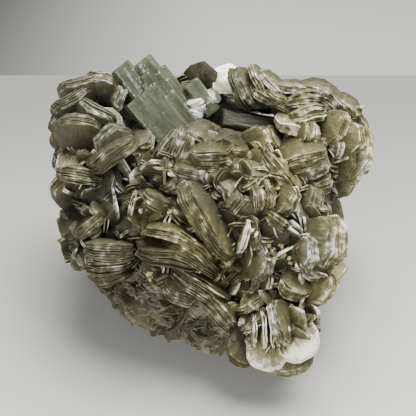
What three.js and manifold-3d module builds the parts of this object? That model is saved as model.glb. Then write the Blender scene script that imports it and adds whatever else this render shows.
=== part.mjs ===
// An aquamarine specimen: beryl prisms on a dense mass of muscovite mica books, which grew on a
// piece of dark host rock. Millimetres, +Z up. It rests on the flat cut of the rock, at z = 0.
import * as THREE from "three";
import { mergeVertices } from "three/addons/utils/BufferGeometryUtils.js";
import Module from "manifold-3d";

const wasm = await Module();
wasm.setup();

const CLEARANCE = 0.3; // between two pieces that grew against each other
const SMALLEST_FACET = 0.04; // finer steps are merged after the pieces are joined
const REST_HEIGHT = 0.6; // the lowest mica, above the surface that the rock rests on

// The display face leans back. ACROSS and UP_FACE lie in it, and OUT is its outward direction.
const FACE_TILT = THREE.MathUtils.degToRad(40);
const ACROSS = new THREE.Vector3(1, 0, 0);
const UP_FACE = new THREE.Vector3(0, Math.sin(FACE_TILT), Math.cos(FACE_TILT));
const OUT = new THREE.Vector3(0, -Math.cos(FACE_TILT), Math.sin(FACE_TILT));
const HEART = new THREE.Vector3(0, 0, 36); // the middle of the specimen
const FAR = 200; // a distance that is well outside the specimen

// Lobes of the mass: centre, half-sizes, and how finely the ball is faceted.
const MICA_LOBES = [
  { centre: [2, 2, 34], half: [40, 35, 30], detail: 1 }, // core
  { centre: [-36, 14, 46], half: [18, 21, 20], detail: 1 }, // left shoulder
  { centre: [-31, -6, 33], half: [20, 19, 17], detail: 1 }, // below the left shoulder
  { centre: [-40, 26, 56], half: [14, 13, 14], detail: 1 }, // left corner
  { centre: [-18, 32, 57], half: [22, 11, 13], detail: 1 }, // back left ridge
  { centre: [38, 18, 48], half: [18, 18, 19], detail: 1 }, // right shoulder
  { centre: [31, -14, 31], half: [15, 19, 17], detail: 1 }, // below the right shoulder
  { centre: [29, 33, 61], half: [28, 11, 10], detail: 1 }, // back right ridge
  { centre: [3, 32, 57], half: [13, 9, 9], detail: 1 }, // saddle between the two ridges
  { centre: [22, -38, 18], half: [15, 14, 11], detail: 1 }, // tip at the front
];
const ROCK_LOBES = [
  { centre: [-7, -21, 17], half: [28, 21, 15], detail: 1 },
  { centre: [4, -32, 14], half: [17, 14, 10], detail: 1 },
  { centre: [-28, -8, 18], half: [17, 17, 13], detail: 1 },
  { centre: [0, -2, 10], half: [32, 30, 16], detail: 1 },
];
const ROCK_RELIEF = 0.09; // how far the rock's knobs stand out of a smooth ball, as a share of it

// Books seen on the display face. Each row: across and up on the face; turn, the direction of the
// book's visible edge, and open, from 0 edge-on to 90 face-on, in degrees; width along that edge,
// reach out of the mass, thickness and number of leaves.
const FACE_BOOKS = {
  leftShoulder: [
    [-46.5, 42.5, 60, 60, 13, 8, 2, 1],
    [-39.5, 45.5, -8, 45, 17, 10, 5, 1],
    [-46, 35.5, 12, 55, 17, 11, 4, 1],
    [-46.5, 25, 20, 65, 15, 12, 4, 1],
    [-53.5, 33.5, 70, 35, 12, 8, 3, 1],
    [-51.5, 17.5, -38, 60, 14, 10, 4, 1],
    [-44.5, 12.5, -8, 12, 14, 9, 4, 1],
    [-50.5, 8, -5, 55, 12, 9, 3, 1],
    [-40.5, 4, 55, 60, 11, 9, 3, 1],
    [-41.5, -4, 40, 20, 12, 8, 2.5, 1],
  ],
  leftOfMiddle: [
    [-34, 21, 38, 25, 22, 12, 4, 1],
    [-27.5, 19, 42, 45, 19, 12, 5, 1],
    [-33.5, 39.5, 65, 30, 16, 11, 5, 1],
    [-35.5, 28.5, -65, 65, 13, 10, 3, 1],
    [-37, 9, 70, 50, 13, 8, 3, 1],
  ],
  belowAquamarine: [
    [-2, 27, -25, 60, 14, 10, 4, 1],
    [1, 20.5, -5, 25, 16, 10, 5, 1],
    [-16, 21, 52, 20, 14, 9, 3, 1],
    [-12.5, 20.5, 65, 15, 13, 9, 2.5, 1],
    [-6, 13.5, -10, 20, 14, 8, 3, 1],
    [-5, 35, 20, 60, 9, 7, 3, 1],
  ],
  middle: [
    [0.5, 0, -62, 25, 26, 11, 4, 2],
    [4.5, -6, -58, 35, 22, 10, 4, 1],
    [-26, 0, 78, 8, 10, 7, 1.6, 1],
    [-21, -0.5, 85, 50, 9, 7, 4, 1],
    [10, -9.5, 72, 15, 13, 9, 1.8, 1],
    [19.5, -8.5, -5, 60, 13, 9, 3, 1],
    [19, 3, 80, 8, 10, 7, 2, 1],
    [13, -19, 80, 50, 12, 9, 4, 1],
  ],
  rightOfMiddle: [
    [33, 17, 30, 65, 19, 14, 4, 1],
    [25.5, 16, -48, 15, 14, 9, 2.5, 1],
    [37, 10.5, 15, 30, 14, 9, 3, 1],
    [15.5, 15, -5, 60, 11, 9, 3, 1],
    [14.5, 24, 95, 55, 10, 8, 3, 1],
    [24, 25, -50, 30, 13, 9, 3, 1],
    [43.5, 6.5, -70, 60, 12, 9, 2, 1],
  ],
  lowerRight: [
    [33.5, -10, 80, 40, 17, 10, 4, 1],
    [38, -10, 85, 35, 18, 9, 4, 1],
    [45, -7, -82, 40, 16, 9, 3, 1],
    [28.5, -14.5, 20, 50, 11, 8, 4, 1],
    [30, -24, -25, 40, 12, 8, 3, 1],
    [38, -27, 65, 60, 15, 10, 4, 1],
  ],
  lowerLeft: [
    [-32.5, -12.5, -3, 12, 18, 11, 5, 2],
    [-33, -17, 4, 15, 17, 10, 5, 1],
    [-33, -22.5, 18, 20, 14, 8, 3, 1],
    [-12, -11, -8, 20, 26, 12, 4, 2],
    [-10, -14, -22, 10, 26, 11, 4, 1],
    [-6.5, -24.5, -12, 30, 15, 9, 5, 1],
    [-1, -25, -35, 15, 24, 11, 4, 1],
    [4, -31, -45, 12, 22, 10, 4, 1],
    [13, -29, 32, 12, 13, 9, 2, 1],
    [13.5, -35, 38, 15, 12, 8, 2, 1],
  ],
  tip: [
    [14.5, -39.5, 90, 8, 14, 9, 2.2, 1],
    [20, -38, -78, 8, 16, 10, 2.4, 1],
    [25.5, -36.5, 60, 55, 15, 12, 4, 1],
    [28.5, -41.5, 25, 70, 16, 11, 3, 1],
    [23.5, -50, -5, 60, 19, 10, 3, 1],
    [9.5, -47, -25, 30, 12, 8, 3, 1],
  ],
  backRidge: [
    [-2, 51, 45, 60, 12, 10, 1.5, 1],
    [5.5, 50.5, 5, 60, 11, 12, 1.5, 1],
    [9.5, 43.5, -65, 30, 16, 11, 3, 1],
    [13, 43.5, -62, 20, 18, 11, 3, 1],
    [17.5, 45.5, -55, 25, 13, 8, 3, 1],
    [25.5, 45.5, -25, 40, 13, 9, 4, 1],
    [35, 40.5, 3, 12, 17, 12, 3, 1],
    [35, 36.5, 8, 18, 16, 11, 4, 2],
    [41.5, 45.5, -22, 25, 20, 9, 4, 1],
    [53, 40.5, -40, 25, 14, 9, 3, 1],
    [56, 34, -65, 30, 14, 9, 4, 1],
    [48, 17, 80, 65, 19, 11, 2.5, 1],
    [51.5, 11, 75, 60, 14, 8, 2, 1],
    [29, 33.5, -8, 30, 15, 10, 2.5, 1],
    [41.5, 30, 60, 50, 14, 9, 3, 1],
    [45.5, 25, 85, 60, 12, 9, 3, 1],
  ],
};
const BOOK_ROOT = 4; // how deep a book on the face is rooted in the mass
const BOOK_CORNERS = 6;
const BOOK_SETBACK = 1.5; // of a book's root, below the surface of the mass
const LEAF_FILL = 0.72; // a leaf's share of its book's pitch
const LEAF_FAN = 9; // degrees between neighbouring leaves
const CORNER_TRIM = 0.14; // the most that a leaf's corner is drawn in, as a share
const REACH_TRIM = 0.12; // the most that a leaf falls short of its book's reach
const WIDTH_TRIM = 0.1; // and of its width

// Books over the rest of the mass, spread evenly by direction from the heart.
const SPREAD = {
  directions: 104,
  seed: 4211,
  width: [13, 21],
  reach: [8.5, 12.5],
  thickness: [1.8, 3.6],
  lean: [10, 68],
  root: 4.5,
  lowest: 14,
  apart: 6.5, // the least distance from a book of the display face
  hollow: 20, // and from the crystal that lies in the hollow
  corners: 5,
};

// Flakes of schist on the rock.
const ROCK_FLAKES = {
  directions: 72,
  seed: 977,
  width: [9, 15],
  reach: [8, 12],
  thickness: [3, 5],
  lean: [66, 84],
  root: 5.5,
  lowest: 6,
  corners: 5,
};

// The aquamarines share one growth direction. Each prism: its offset to the side of the axis and
// out of the face, where its end lies along the axis, half its width and depth, the share of the
// width that its front face takes, its length, and its spin about the axis in degrees.
const CRYSTAL_TURN = THREE.MathUtils.degToRad(129); // of the growth direction, in the face
const CRYSTAL_RISE = THREE.MathUtils.degToRad(12); // of the growth direction, out of the face
const CLUSTER_PLACE = { across: -21, up: 39, out: 2 };
const CLUSTER_PRISMS = [
  { side: -1, out: 0, end: 15.4, halfWidth: 4, halfDepth: 4.2, face: 0.72, length: 30, spin: 2 },
  { side: 6.4, out: -0.6, end: 12.2, halfWidth: 4, halfDepth: 5, face: 0.6, length: 28, spin: -4 },
  { side: -1.8, out: 3.6, end: 3.4, halfWidth: 7.2, halfDepth: 4.2, face: 0.84, length: 20, spin: 0 },
  { side: 5, out: 3.2, end: -2.6, halfWidth: 3.9, halfDepth: 3.8, face: 0.7, length: 14, spin: 3 },
  { side: 9, out: -2.8, end: 6, halfWidth: 3.4, halfDepth: 4, face: 0.5, length: 22, spin: 7 },
  { side: 3.4, out: 2.2, end: 8, halfWidth: 3, halfDepth: 3.2, face: 0.5, length: 18, spin: 6 },
];
const REAR_PRISM = {
  side: 15,
  out: -1,
  end: -4.6,
  halfWidth: 3.6,
  halfDepth: 3.4,
  face: 0.7,
  length: 14,
  spin: 2,
};
const HOLLOW_PLACE = { across: 12, up: 30.5, out: 1 };
const HOLLOW_TURN = THREE.MathUtils.degToRad(172);
const HOLLOW_PRISM = {
  side: 0,
  out: 0,
  end: 8,
  halfWidth: 4.8,
  halfDepth: 4.6,
  face: 0.55,
  length: 21,
  spin: 11,
};
const PRISM_BEVEL = 0.7; // the small faces round a prism's end

function makeRandom(seed) {
  let state = seed;
  return () => {
    state = (state * 16807) % 2147483647;
    return state / 2147483647;
  };
}

function between(range, share) {
  return THREE.MathUtils.lerp(range[0], range[1], share);
}

// A three.js geometry as a solid that can be joined and cut.
function toSolid(geometry) {
  const bare = geometry.index ? geometry.toNonIndexed() : geometry.clone();
  bare.deleteAttribute("normal");
  bare.deleteAttribute("uv");
  const merged = mergeVertices(bare, 1e-4);
  return new wasm.Manifold(
    new wasm.Mesh({
      numProp: 3,
      vertProperties: new Float32Array(merged.attributes.position.array),
      triVerts: new Uint32Array(merged.index.array),
    }),
  );
}

function toMesh(solid, name, material) {
  const { vertProperties, triVerts } = solid.getMesh();
  const geometry = new THREE.BufferGeometry();
  geometry.setAttribute("position", new THREE.BufferAttribute(vertProperties, 3));
  geometry.setIndex(new THREE.BufferAttribute(triVerts, 1));
  const flat = geometry.toNonIndexed();
  flat.computeVertexNormals();
  const mesh = new THREE.Mesh(flat, material);
  mesh.name = name;
  return mesh;
}

// The largest body of a solid, without crumbs that a cut has left.
function largestBody(solid) {
  const bodies = solid.decompose();
  bodies.sort((a, b) => b.volume() - a.volume());
  return bodies[0];
}

// Where a ray meets one lobe: the first distance, or null, and the distance of closest approach.
function rayOnLobe(lobe, start, direction) {
  const half = new THREE.Vector3(...lobe.half);
  const s = start.clone().sub(new THREE.Vector3(...lobe.centre)).divide(half);
  const d = direction.clone().divide(half);
  const a = d.dot(d);
  const b = s.dot(d);
  const c = s.dot(s) - 1;
  const root = b * b - a * c;
  const closest = -b / a;
  const miss = c - (b * b) / a;
  const spread = root > 0 ? Math.sqrt(root) / a : null;
  return { closest, miss, near: spread && closest - spread, far: spread && closest + spread };
}

function lobeNormal(lobe, point) {
  const half = new THREE.Vector3(...lobe.half);
  const local = point.clone().sub(new THREE.Vector3(...lobe.centre));
  return local.divide(half).divide(half).normalize();
}

// The point of the display face at a place on it, with the normal of the mass there. Just outside
// the outline it is the closest point of the nearest lobe.
function faceAt(across, up) {
  const start = HEART.clone().addScaledVector(ACROSS, across).addScaledVector(UP_FACE, up);
  start.addScaledVector(OUT, FAR);
  const inward = OUT.clone().negate();
  let best = null;
  for (const lobe of [...MICA_LOBES, ...ROCK_LOBES]) {
    const ray = rayOnLobe(lobe, start, inward);
    const rank = ray.near === null ? FAR * (10 + ray.miss) : ray.near;
    if (!best || rank < best.rank) best = { rank, lobe, along: ray.near ?? ray.closest };
  }
  const point = start.addScaledVector(inward, best.along);
  return { point, normal: lobeNormal(best.lobe, point) };
}

// The outermost point of the mass in a direction from its heart.
function outermost(direction) {
  let best = null;
  for (const lobe of [...MICA_LOBES, ...ROCK_LOBES]) {
    const ray = rayOnLobe(lobe, HEART, direction);
    if (ray.far > 0 && (!best || ray.far > best.far)) best = { far: ray.far, lobe };
  }
  const point = HEART.clone().addScaledVector(direction, best.far);
  const rock = ROCK_LOBES.includes(best.lobe);
  return { point, normal: lobeNormal(best.lobe, point), rock };
}

// A many-cornered leaf, width along x, reach along y and thickness along z, about its middle.
function leafGeometry(width, reach, thickness, corners, random) {
  const fit = 1 / Math.cos(Math.PI / corners);
  const outline = new THREE.Shape();
  for (let i = 0; i < corners; i += 1) {
    const angle = ((i + 0.5) / corners) * 2 * Math.PI;
    const trim = 1 - CORNER_TRIM * random();
    const x = 0.5 * width * Math.cos(angle) * fit * trim;
    const y = 0.5 * reach * Math.sin(angle) * fit * trim;
    if (i === 0) outline.moveTo(x, y);
    else outline.lineTo(x, y);
  }
  outline.closePath();
  const leaf = new THREE.ExtrudeGeometry(outline, { depth: thickness, bevelEnabled: false });
  return leaf.translate(0, 0, -thickness / 2);
}

// A book: leaves that fan out of one root. edge runs along its width and rim out of the mass.
function bookSolids(root, edge, rim, size, grow, random) {
  const pitch = size.thickness / size.leaves;
  const solids = [];
  for (let i = 0; i < size.leaves; i += 1) {
    const place = i - (size.leaves - 1) / 2;
    const fan = THREE.MathUtils.degToRad(LEAF_FAN * place);
    const out = rim.clone().applyAxisAngle(edge, fan);
    const face = edge.clone().cross(out);
    const reach = size.reach * (1 - REACH_TRIM * random());
    const width = size.width * (1 - WIDTH_TRIM * random());
    const fill = size.leaves > 1 ? LEAF_FILL : 1;
    const leaf = leafGeometry(
      width + 2 * grow,
      reach + 2 * grow,
      pitch * fill + 2 * grow,
      size.corners,
      random,
    );
    const centre = root.clone().addScaledVector(out, reach / 2).addScaledVector(face, pitch * place);
    leaf.applyMatrix4(new THREE.Matrix4().makeBasis(edge, out, face).setPosition(centre));
    solids.push(toSolid(leaf));
  }
  return solids;
}

function faceBookSolids(row, random) {
  const [across, up, turn, open, width, reach, thickness, leaves] = row;
  const place = faceAt(across, up);
  const turned = THREE.MathUtils.degToRad(turn);
  const opened = THREE.MathUtils.degToRad(open);
  const edge = ACROSS.clone().multiplyScalar(Math.cos(turned));
  edge.addScaledVector(UP_FACE, Math.sin(turned));
  const beside = ACROSS.clone().multiplyScalar(-Math.sin(turned));
  beside.addScaledVector(UP_FACE, Math.cos(turned));
  const rim = OUT.clone().multiplyScalar(Math.cos(opened)).addScaledVector(beside, -Math.sin(opened));
  if (rim.dot(place.normal) < 0) rim.negate();
  const root = place.point.clone().addScaledVector(place.normal, -BOOK_SETBACK);
  root.addScaledVector(rim, -BOOK_ROOT);
  const size = { width, reach: reach + BOOK_ROOT, thickness, leaves, corners: BOOK_CORNERS };
  return bookSolids(root, edge, rim, size, 0, random);
}

// Even directions over a sphere, by the golden angle.
function evenDirection(index, count) {
  const z = 1 - (2 * index + 1) / count;
  const turn = index * Math.PI * (3 - Math.sqrt(5));
  const flat = Math.sqrt(1 - z * z);
  return new THREE.Vector3(flat * Math.cos(turn), flat * Math.sin(turn), z);
}

// Leaves spread over the mass or over the rock. keep says which places get one.
function spreadSolids(spread, keep, grow) {
  const random = makeRandom(spread.seed);
  const solids = [];
  for (let i = 0; i < spread.directions; i += 1) {
    const direction = evenDirection(i, spread.directions);
    const place = outermost(direction);
    const draws = [random(), random(), random(), random(), random()];
    if (place.point.z < spread.lowest || !keep(place)) continue;
    const level = new THREE.Vector3(-place.normal.y, place.normal.x, 0.001).normalize();
    const heading = 2 * Math.PI * draws[0];
    const edge = level.applyAxisAngle(place.normal, heading).projectOnPlane(place.normal).normalize();
    const aside = edge.clone().cross(place.normal);
    const lean = THREE.MathUtils.degToRad(between(spread.lean, draws[1]));
    const rim = place.normal.clone().multiplyScalar(Math.cos(lean));
    rim.addScaledVector(aside, Math.sin(lean));
    const size = {
      width: between(spread.width, draws[2]),
      reach: between(spread.reach, draws[3]),
      thickness: between(spread.thickness, draws[4]),
      leaves: 1,
      corners: spread.corners,
    };
    const root = place.point.clone().addScaledVector(rim, -spread.root);
    solids.push(...bookSolids(root, edge, rim, size, grow, random));
  }
  return solids;
}

function lobeSolids(lobes, relief, grow) {
  return lobes.map((lobe) => {
    const ball = new THREE.IcosahedronGeometry(1, lobe.detail);
    const position = ball.attributes.position;
    const point = new THREE.Vector3();
    for (let i = 0; i < position.count; i += 1) {
      point.fromBufferAttribute(position, i);
      const wave = Math.sin(5 * point.x + 1) * Math.sin(6 * point.y + 2) * Math.sin(5 * point.z);
      const swell = 1 + relief * wave;
      const half = new THREE.Vector3(...lobe.half).multiplyScalar(swell).addScalar(grow);
      point.multiply(half).add(new THREE.Vector3(...lobe.centre));
      position.setXYZ(i, point.x, point.y, point.z);
    }
    return toSolid(ball);
  });
}

// Everything above a level, as one large block.
function above(level) {
  const block = new THREE.BoxGeometry(2 * FAR, 2 * FAR, FAR);
  return toSolid(block.translate(0, 0, level + FAR / 2));
}

function rockSolid(grow) {
  const flakes = spreadSolids(ROCK_FLAKES, (place) => place.rock, grow);
  const rock = wasm.Manifold.union([...lobeSolids(ROCK_LOBES, ROCK_RELIEF, grow), ...flakes]);
  return rock.intersect(above(-grow));
}

// A hexagonal prism along z, with small bevelled faces round its two ends.
function prismSolid(prism, place, turn, grow) {
  const w = prism.halfWidth + grow - PRISM_BEVEL;
  const d = prism.halfDepth + grow - PRISM_BEVEL;
  const f = w * prism.face;
  const corners = [[w, 0], [f, d], [-f, d], [-w, 0], [-f, -d], [f, -d]];
  const outline = new THREE.Shape(corners.map(([x, y]) => new THREE.Vector2(x, y)));
  const depth = prism.length + 2 * grow - 2 * PRISM_BEVEL;
  const crystal = new THREE.ExtrudeGeometry(outline, {
    depth,
    bevelThickness: PRISM_BEVEL,
    bevelSize: PRISM_BEVEL,
    bevelSegments: 1,
  });
  crystal.rotateZ(THREE.MathUtils.degToRad(prism.spin));
  crystal.translate(prism.side, -prism.out, prism.end + grow - PRISM_BEVEL - depth);
  const inFace = ACROSS.clone().multiplyScalar(Math.cos(turn)).addScaledVector(UP_FACE, Math.sin(turn));
  const axis = inFace.multiplyScalar(Math.cos(CRYSTAL_RISE)).addScaledVector(OUT, Math.sin(CRYSTAL_RISE));
  const side = OUT.clone().cross(axis).normalize().negate();
  const inward = axis.clone().cross(side);
  const origin = faceAt(place.across, place.up).point.addScaledVector(OUT, place.out);
  crystal.applyMatrix4(new THREE.Matrix4().makeBasis(side, inward, axis).setPosition(origin));
  return toSolid(crystal);
}

function clusterSolid(grow) {
  const prisms = CLUSTER_PRISMS.map((prism) => prismSolid(prism, CLUSTER_PLACE, CRYSTAL_TURN, grow));
  return wasm.Manifold.union(prisms);
}

function rearSolid(grow) {
  return prismSolid(REAR_PRISM, CLUSTER_PLACE, CRYSTAL_TURN, grow);
}

function hollowSolid(grow) {
  return prismSolid(HOLLOW_PRISM, HOLLOW_PLACE, HOLLOW_TURN, grow);
}

// The mica grew round the rock and the crystals, so their shapes are cut out of it.
function micaSolid() {
  const random = makeRandom(31);
  const rows = Object.values(FACE_BOOKS).flat();
  const books = rows.flatMap((row) => faceBookSolids(row, random));
  const taken = rows.map((row) => faceAt(row[0], row[1]).point);
  const hollow = faceAt(HOLLOW_PLACE.across, HOLLOW_PLACE.up).point;
  const clear = (place, points, gap) => points.every((point) => point.distanceTo(place.point) > gap);
  const free = (place) =>
    !place.rock && clear(place, taken, SPREAD.apart) && clear(place, [hollow], SPREAD.hollow);
  const mass = wasm.Manifold.union([
    ...lobeSolids(MICA_LOBES, 0, 0),
    ...books,
    ...spreadSolids(SPREAD, free, 0),
  ]);
  const cut = wasm.Manifold.union([
    rockSolid(CLEARANCE),
    clusterSolid(CLEARANCE),
    rearSolid(CLEARANCE),
    hollowSolid(CLEARANCE),
  ]);
  return mass.intersect(above(REST_HEIGHT)).subtract(cut);
}

function finished(solid) {
  return largestBody(largestBody(solid).simplify(SMALLEST_FACET));
}

const micaFinish = new THREE.MeshStandardMaterial({ color: 0x7d7860, roughness: 0.35, metalness: 0.2 });
const rockFinish = new THREE.MeshStandardMaterial({ color: 0x4d4a40, roughness: 0.85, metalness: 0 });
const berylFinish = new THREE.MeshStandardMaterial({
  color: 0x8d9a86,
  roughness: 0.12,
  metalness: 0,
  transparent: true,
  opacity: 0.6,
});

const specimen = new THREE.Group();
const cluster = clusterSolid(0);
const rear = rearSolid(0).subtract(clusterSolid(CLEARANCE));
const hollow = hollowSolid(0);
const rock = rockSolid(0).subtract(clusterSolid(CLEARANCE)).subtract(hollowSolid(CLEARANCE));
specimen.add(toMesh(finished(micaSolid()), "muscovite_cluster", micaFinish));
specimen.add(toMesh(finished(rock), "host_rock", rockFinish));
specimen.add(toMesh(finished(cluster), "aquamarine_cluster", berylFinish));
specimen.add(toMesh(finished(rear), "aquamarine_rear", berylFinish.clone()));
specimen.add(toMesh(finished(hollow), "aquamarine_hollow", berylFinish.clone()));

export default specimen;
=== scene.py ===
import math
import random
from itertools import product

import bmesh
import bpy
from mathutils import Matrix, Vector, noise
from mathutils.bvhtree import BVHTree


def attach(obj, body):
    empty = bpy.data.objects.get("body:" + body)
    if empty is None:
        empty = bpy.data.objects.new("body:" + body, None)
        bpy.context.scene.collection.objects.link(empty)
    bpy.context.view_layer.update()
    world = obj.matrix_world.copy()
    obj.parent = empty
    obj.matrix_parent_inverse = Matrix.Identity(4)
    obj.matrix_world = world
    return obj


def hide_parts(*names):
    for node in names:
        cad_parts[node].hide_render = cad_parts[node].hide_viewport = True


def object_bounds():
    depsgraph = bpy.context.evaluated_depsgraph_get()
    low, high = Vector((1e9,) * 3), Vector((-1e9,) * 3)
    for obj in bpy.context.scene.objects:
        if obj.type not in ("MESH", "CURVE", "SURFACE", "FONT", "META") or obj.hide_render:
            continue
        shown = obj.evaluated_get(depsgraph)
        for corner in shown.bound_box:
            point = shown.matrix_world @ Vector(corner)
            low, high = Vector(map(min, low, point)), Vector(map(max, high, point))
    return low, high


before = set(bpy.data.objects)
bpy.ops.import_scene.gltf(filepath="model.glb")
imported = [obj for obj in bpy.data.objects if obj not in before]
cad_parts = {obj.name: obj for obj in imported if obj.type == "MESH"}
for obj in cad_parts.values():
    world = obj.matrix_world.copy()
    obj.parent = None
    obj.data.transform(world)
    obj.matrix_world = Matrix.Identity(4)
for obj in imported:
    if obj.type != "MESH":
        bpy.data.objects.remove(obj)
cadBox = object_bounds()
scene = bpy.context.scene
mm = 0.001


class Value:
    # a node's output that can stand in a formula
    def __init__(self, make, socket):
        self.make, self.socket = make, socket

    def __add__(self, other):
        return self.make.maths("ADD", self, other)

    def __radd__(self, other):
        return self.make.maths("ADD", other, self)

    def __sub__(self, other):
        return self.make.maths("SUBTRACT", self, other)

    def __rsub__(self, other):
        return self.make.maths("SUBTRACT", other, self)

    def __mul__(self, other):
        return self.make.maths("MULTIPLY", self, other)

    def __truediv__(self, other):
        return self.make.maths("DIVIDE", self, other)

    def __pow__(self, other):
        return self.make.maths("POWER", self, other)


class NodeMaker:
    # short ways to add nodes and to wire them
    def __init__(self, tree):
        self.tree = tree

    def add(self, kind, **settings):
        node = self.tree.nodes.new(kind)
        for name, value in settings.items():
            setattr(node, name, value)
        return node

    def wire(self, source, target):
        source = source.socket if isinstance(source, Value) else source
        if isinstance(source, bpy.types.NodeSocket):
            self.tree.links.new(source, target)
        else:
            target.default_value = source

    def fill(self, node, inputs):
        for name, source in inputs.items():
            self.wire(source, node.inputs[name])

    def result(self, kind, inputs, output=None, **settings):
        # adds a node, fills its inputs by name or number, and gives one of its outputs
        node = self.add(kind, **settings)
        for key, source in inputs.items():
            same = [node.inputs[key]] if isinstance(key, int) else [s for s in node.inputs if s.name == key]
            self.wire(source, next((s for s in same if s.enabled), same[0]))
        return Value(self, node.outputs[output] if output else next(s for s in node.outputs if s.enabled))

    def given(self):
        # the inputs of a node group, by name
        return {s.name: Value(self, s) for s in self.add("NodeGroupInput").outputs if s.name}

    def maths(self, operation, *values):
        return self.result("ShaderNodeMath", dict(enumerate(values)), operation=operation)

    def vectors(self, operation, *values):
        return self.result("ShaderNodeVectorMath", dict(enumerate(values)), operation=operation)

    def scaled(self, vector, amount):
        return self.result("ShaderNodeVectorMath", {0: vector, "Scale": amount}, operation="SCALE")

    def plus(self, first, *others):
        for vector in others:
            first = self.vectors("ADD", first, vector)
        return first

    def parts(self, vector):
        node = self.add("ShaderNodeSeparateXYZ")
        self.wire(vector, node.inputs[0])
        return [Value(self, s) for s in node.outputs]

    def named(self, name, kind="FLOAT"):
        return self.result("GeometryNodeInputNamedAttribute", {"Name": name}, "Attribute", data_type=kind)

    def drawn(self, low, high, seed, kind="FLOAT", **more):
        inputs = {"Min": low, "Max": high, "Seed": seed, **more}
        return self.result("FunctionNodeRandomValue", inputs, data_type=kind)

    def drifting(self, place, scale):
        # a value that changes slowly along a line, from about -1 to 1
        texture = self.result("ShaderNodeTexNoise", {"W": place, "Scale": scale}, noise_dimensions="1D")
        return (texture - 0.5) * 3.0

    def store(self, geometry, name, value):
        inputs = {"Geometry": geometry, "Name": name, "Value": value}
        return self.result("GeometryNodeStoreNamedAttribute", inputs, data_type="FLOAT", domain="POINT")

    def attribute(self, name, output="Fac"):
        return self.result("ShaderNodeAttribute", {}, output, attribute_name=name)

    def objectPlace(self):
        return self.result("ShaderNodeTexCoord", {}, "Object")

    def ranged(self, value, low, high, ends=(0.0, 1.0), curve="LINEAR"):
        inputs = {"Value": value, "From Min": ends[0], "From Max": ends[1], "To Min": low, "To Max": high}
        return self.result("ShaderNodeMapRange", inputs, interpolation_type=curve)

    def mixed(self, factor, a, b, blend="MIX"):
        a, b = (colour if isinstance(colour, Value) else (*colour, 1) for colour in (a, b))
        inputs = {"Factor": factor, "A": a, "B": b}
        return self.result("ShaderNodeMix", inputs, data_type="RGBA", blend_type=blend)

    def ramp(self, value, stops):
        node = self.add("ShaderNodeValToRGB")
        elements = node.color_ramp.elements
        longest = stops[-1][0]
        if longest > 1:
            value = value / longest
            stops = [(position / longest, colour) for position, colour in stops]
        while len(elements) < len(stops):
            elements.new(0.5)
        for element, (position, colour) in zip(elements, stops):
            element.position = position
            element.color = (*colour, 1)
        self.wire(value, node.inputs[0])
        return Value(self, node.outputs[0])

    def streaked(self, streaks, lineScale, blotchScale, detail, vector=None):
        # lines and blotches from the shared group
        node = self.add("ShaderNodeGroup", node_tree=streaks)
        self.fill(node, {"Vector": vector or self.objectPlace(), "Line Scale": lineScale,
                         "Blotch Scale": blotchScale, "Detail": detail})
        return Value(self, node.outputs["Lines"]), Value(self, node.outputs["Blotches"])

    def bump(self, shader, height, strength, distance):
        inputs = {"Height": height, "Strength": strength, "Distance": distance}
        self.wire(self.result("ShaderNodeBump", inputs), shader.inputs["Normal"])


def groupSockets(group, inputs, outputs):
    for name, (kind, value) in inputs.items():
        socket = group.interface.new_socket(name=name, in_out="INPUT", socket_type="NodeSocket" + kind)
        if value is not None:
            socket.default_value = value
    for name, kind in outputs.items():
        group.interface.new_socket(name=name, in_out="OUTPUT", socket_type="NodeSocket" + kind)


def newMaterial(name):
    material = bpy.data.materials.new(name)
    material.use_nodes = True
    return material, NodeMaker(material.node_tree), material.node_tree.nodes["Principled BSDF"]


def meshOf(name, shape):
    # a new mesh with the shape, which is given up
    mesh = bpy.data.meshes.new(name)
    shape.to_mesh(mesh)
    shape.free()
    return mesh


def linked(name, data):
    # a new object in the scene
    thing = bpy.data.objects.new(name, data)
    scene.collection.objects.link(thing)
    return thing


def lookAt(place, target):
    return (Vector(target) - Vector(place)).to_track_quat("-Z", "Y").to_matrix().to_4x4()


cameraSettings = {
    "target": (0, 0, 0.036),
    "distance": 0.28,
    "pitch": 40,
    "fieldOfView": 30,
    "clipStart": 0.01,
}


def addCamera(settings):
    pitch = math.radians(settings["pitch"])
    back = Vector((0, -math.cos(pitch), math.sin(pitch)))
    place = Vector(settings["target"]) + back * settings["distance"]
    data = bpy.data.cameras.new("view")
    data.angle = math.radians(settings["fieldOfView"])
    data.clip_start = settings["clipStart"]
    scene.camera = linked("view", data)
    scene.camera.matrix_world = Matrix.Translation(place) @ lookAt(place, settings["target"])


def boxMesh(name, low, high):
    shape = bmesh.new()
    corners = [shape.verts.new(corner[::-1]) for corner in product(*zip(low[::-1], high[::-1]))]
    for face in ((0, 2, 3, 1), (4, 5, 7, 6), (0, 1, 5, 4), (2, 6, 7, 3), (0, 4, 6, 2), (1, 3, 7, 5)):
        shape.faces.new([corners[i] for i in face])
    return meshOf(name, shape)


stageSettings = {
    "tableBack": 0.155,  # the table ends here
    "tableReach": 0.9,
    "tableThickness": 0.012,
    "backdropDrop": 0.06,  # the grey ground beyond the table, below its top
    "backdropReach": 4.0,
    "backdropThickness": 0.01,
    "tableColour": (0.50, 0.50, 0.48),
    # painted shade: the table's far colour is darker, as if the light fell off towards the back
    "tableFarShade": (0.185, 0.188, 0.178),
    "tableFade": (-0.12, 0.155),  # between these depths
    "backdropColour": (0.33, 0.338, 0.325),
    "backdropShade": (0.042, 0.043, 0.04),  # and at its left, out of the light
    "backdropFade": (-0.22, 0.02),
    "roughness": 0.7,
}


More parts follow.
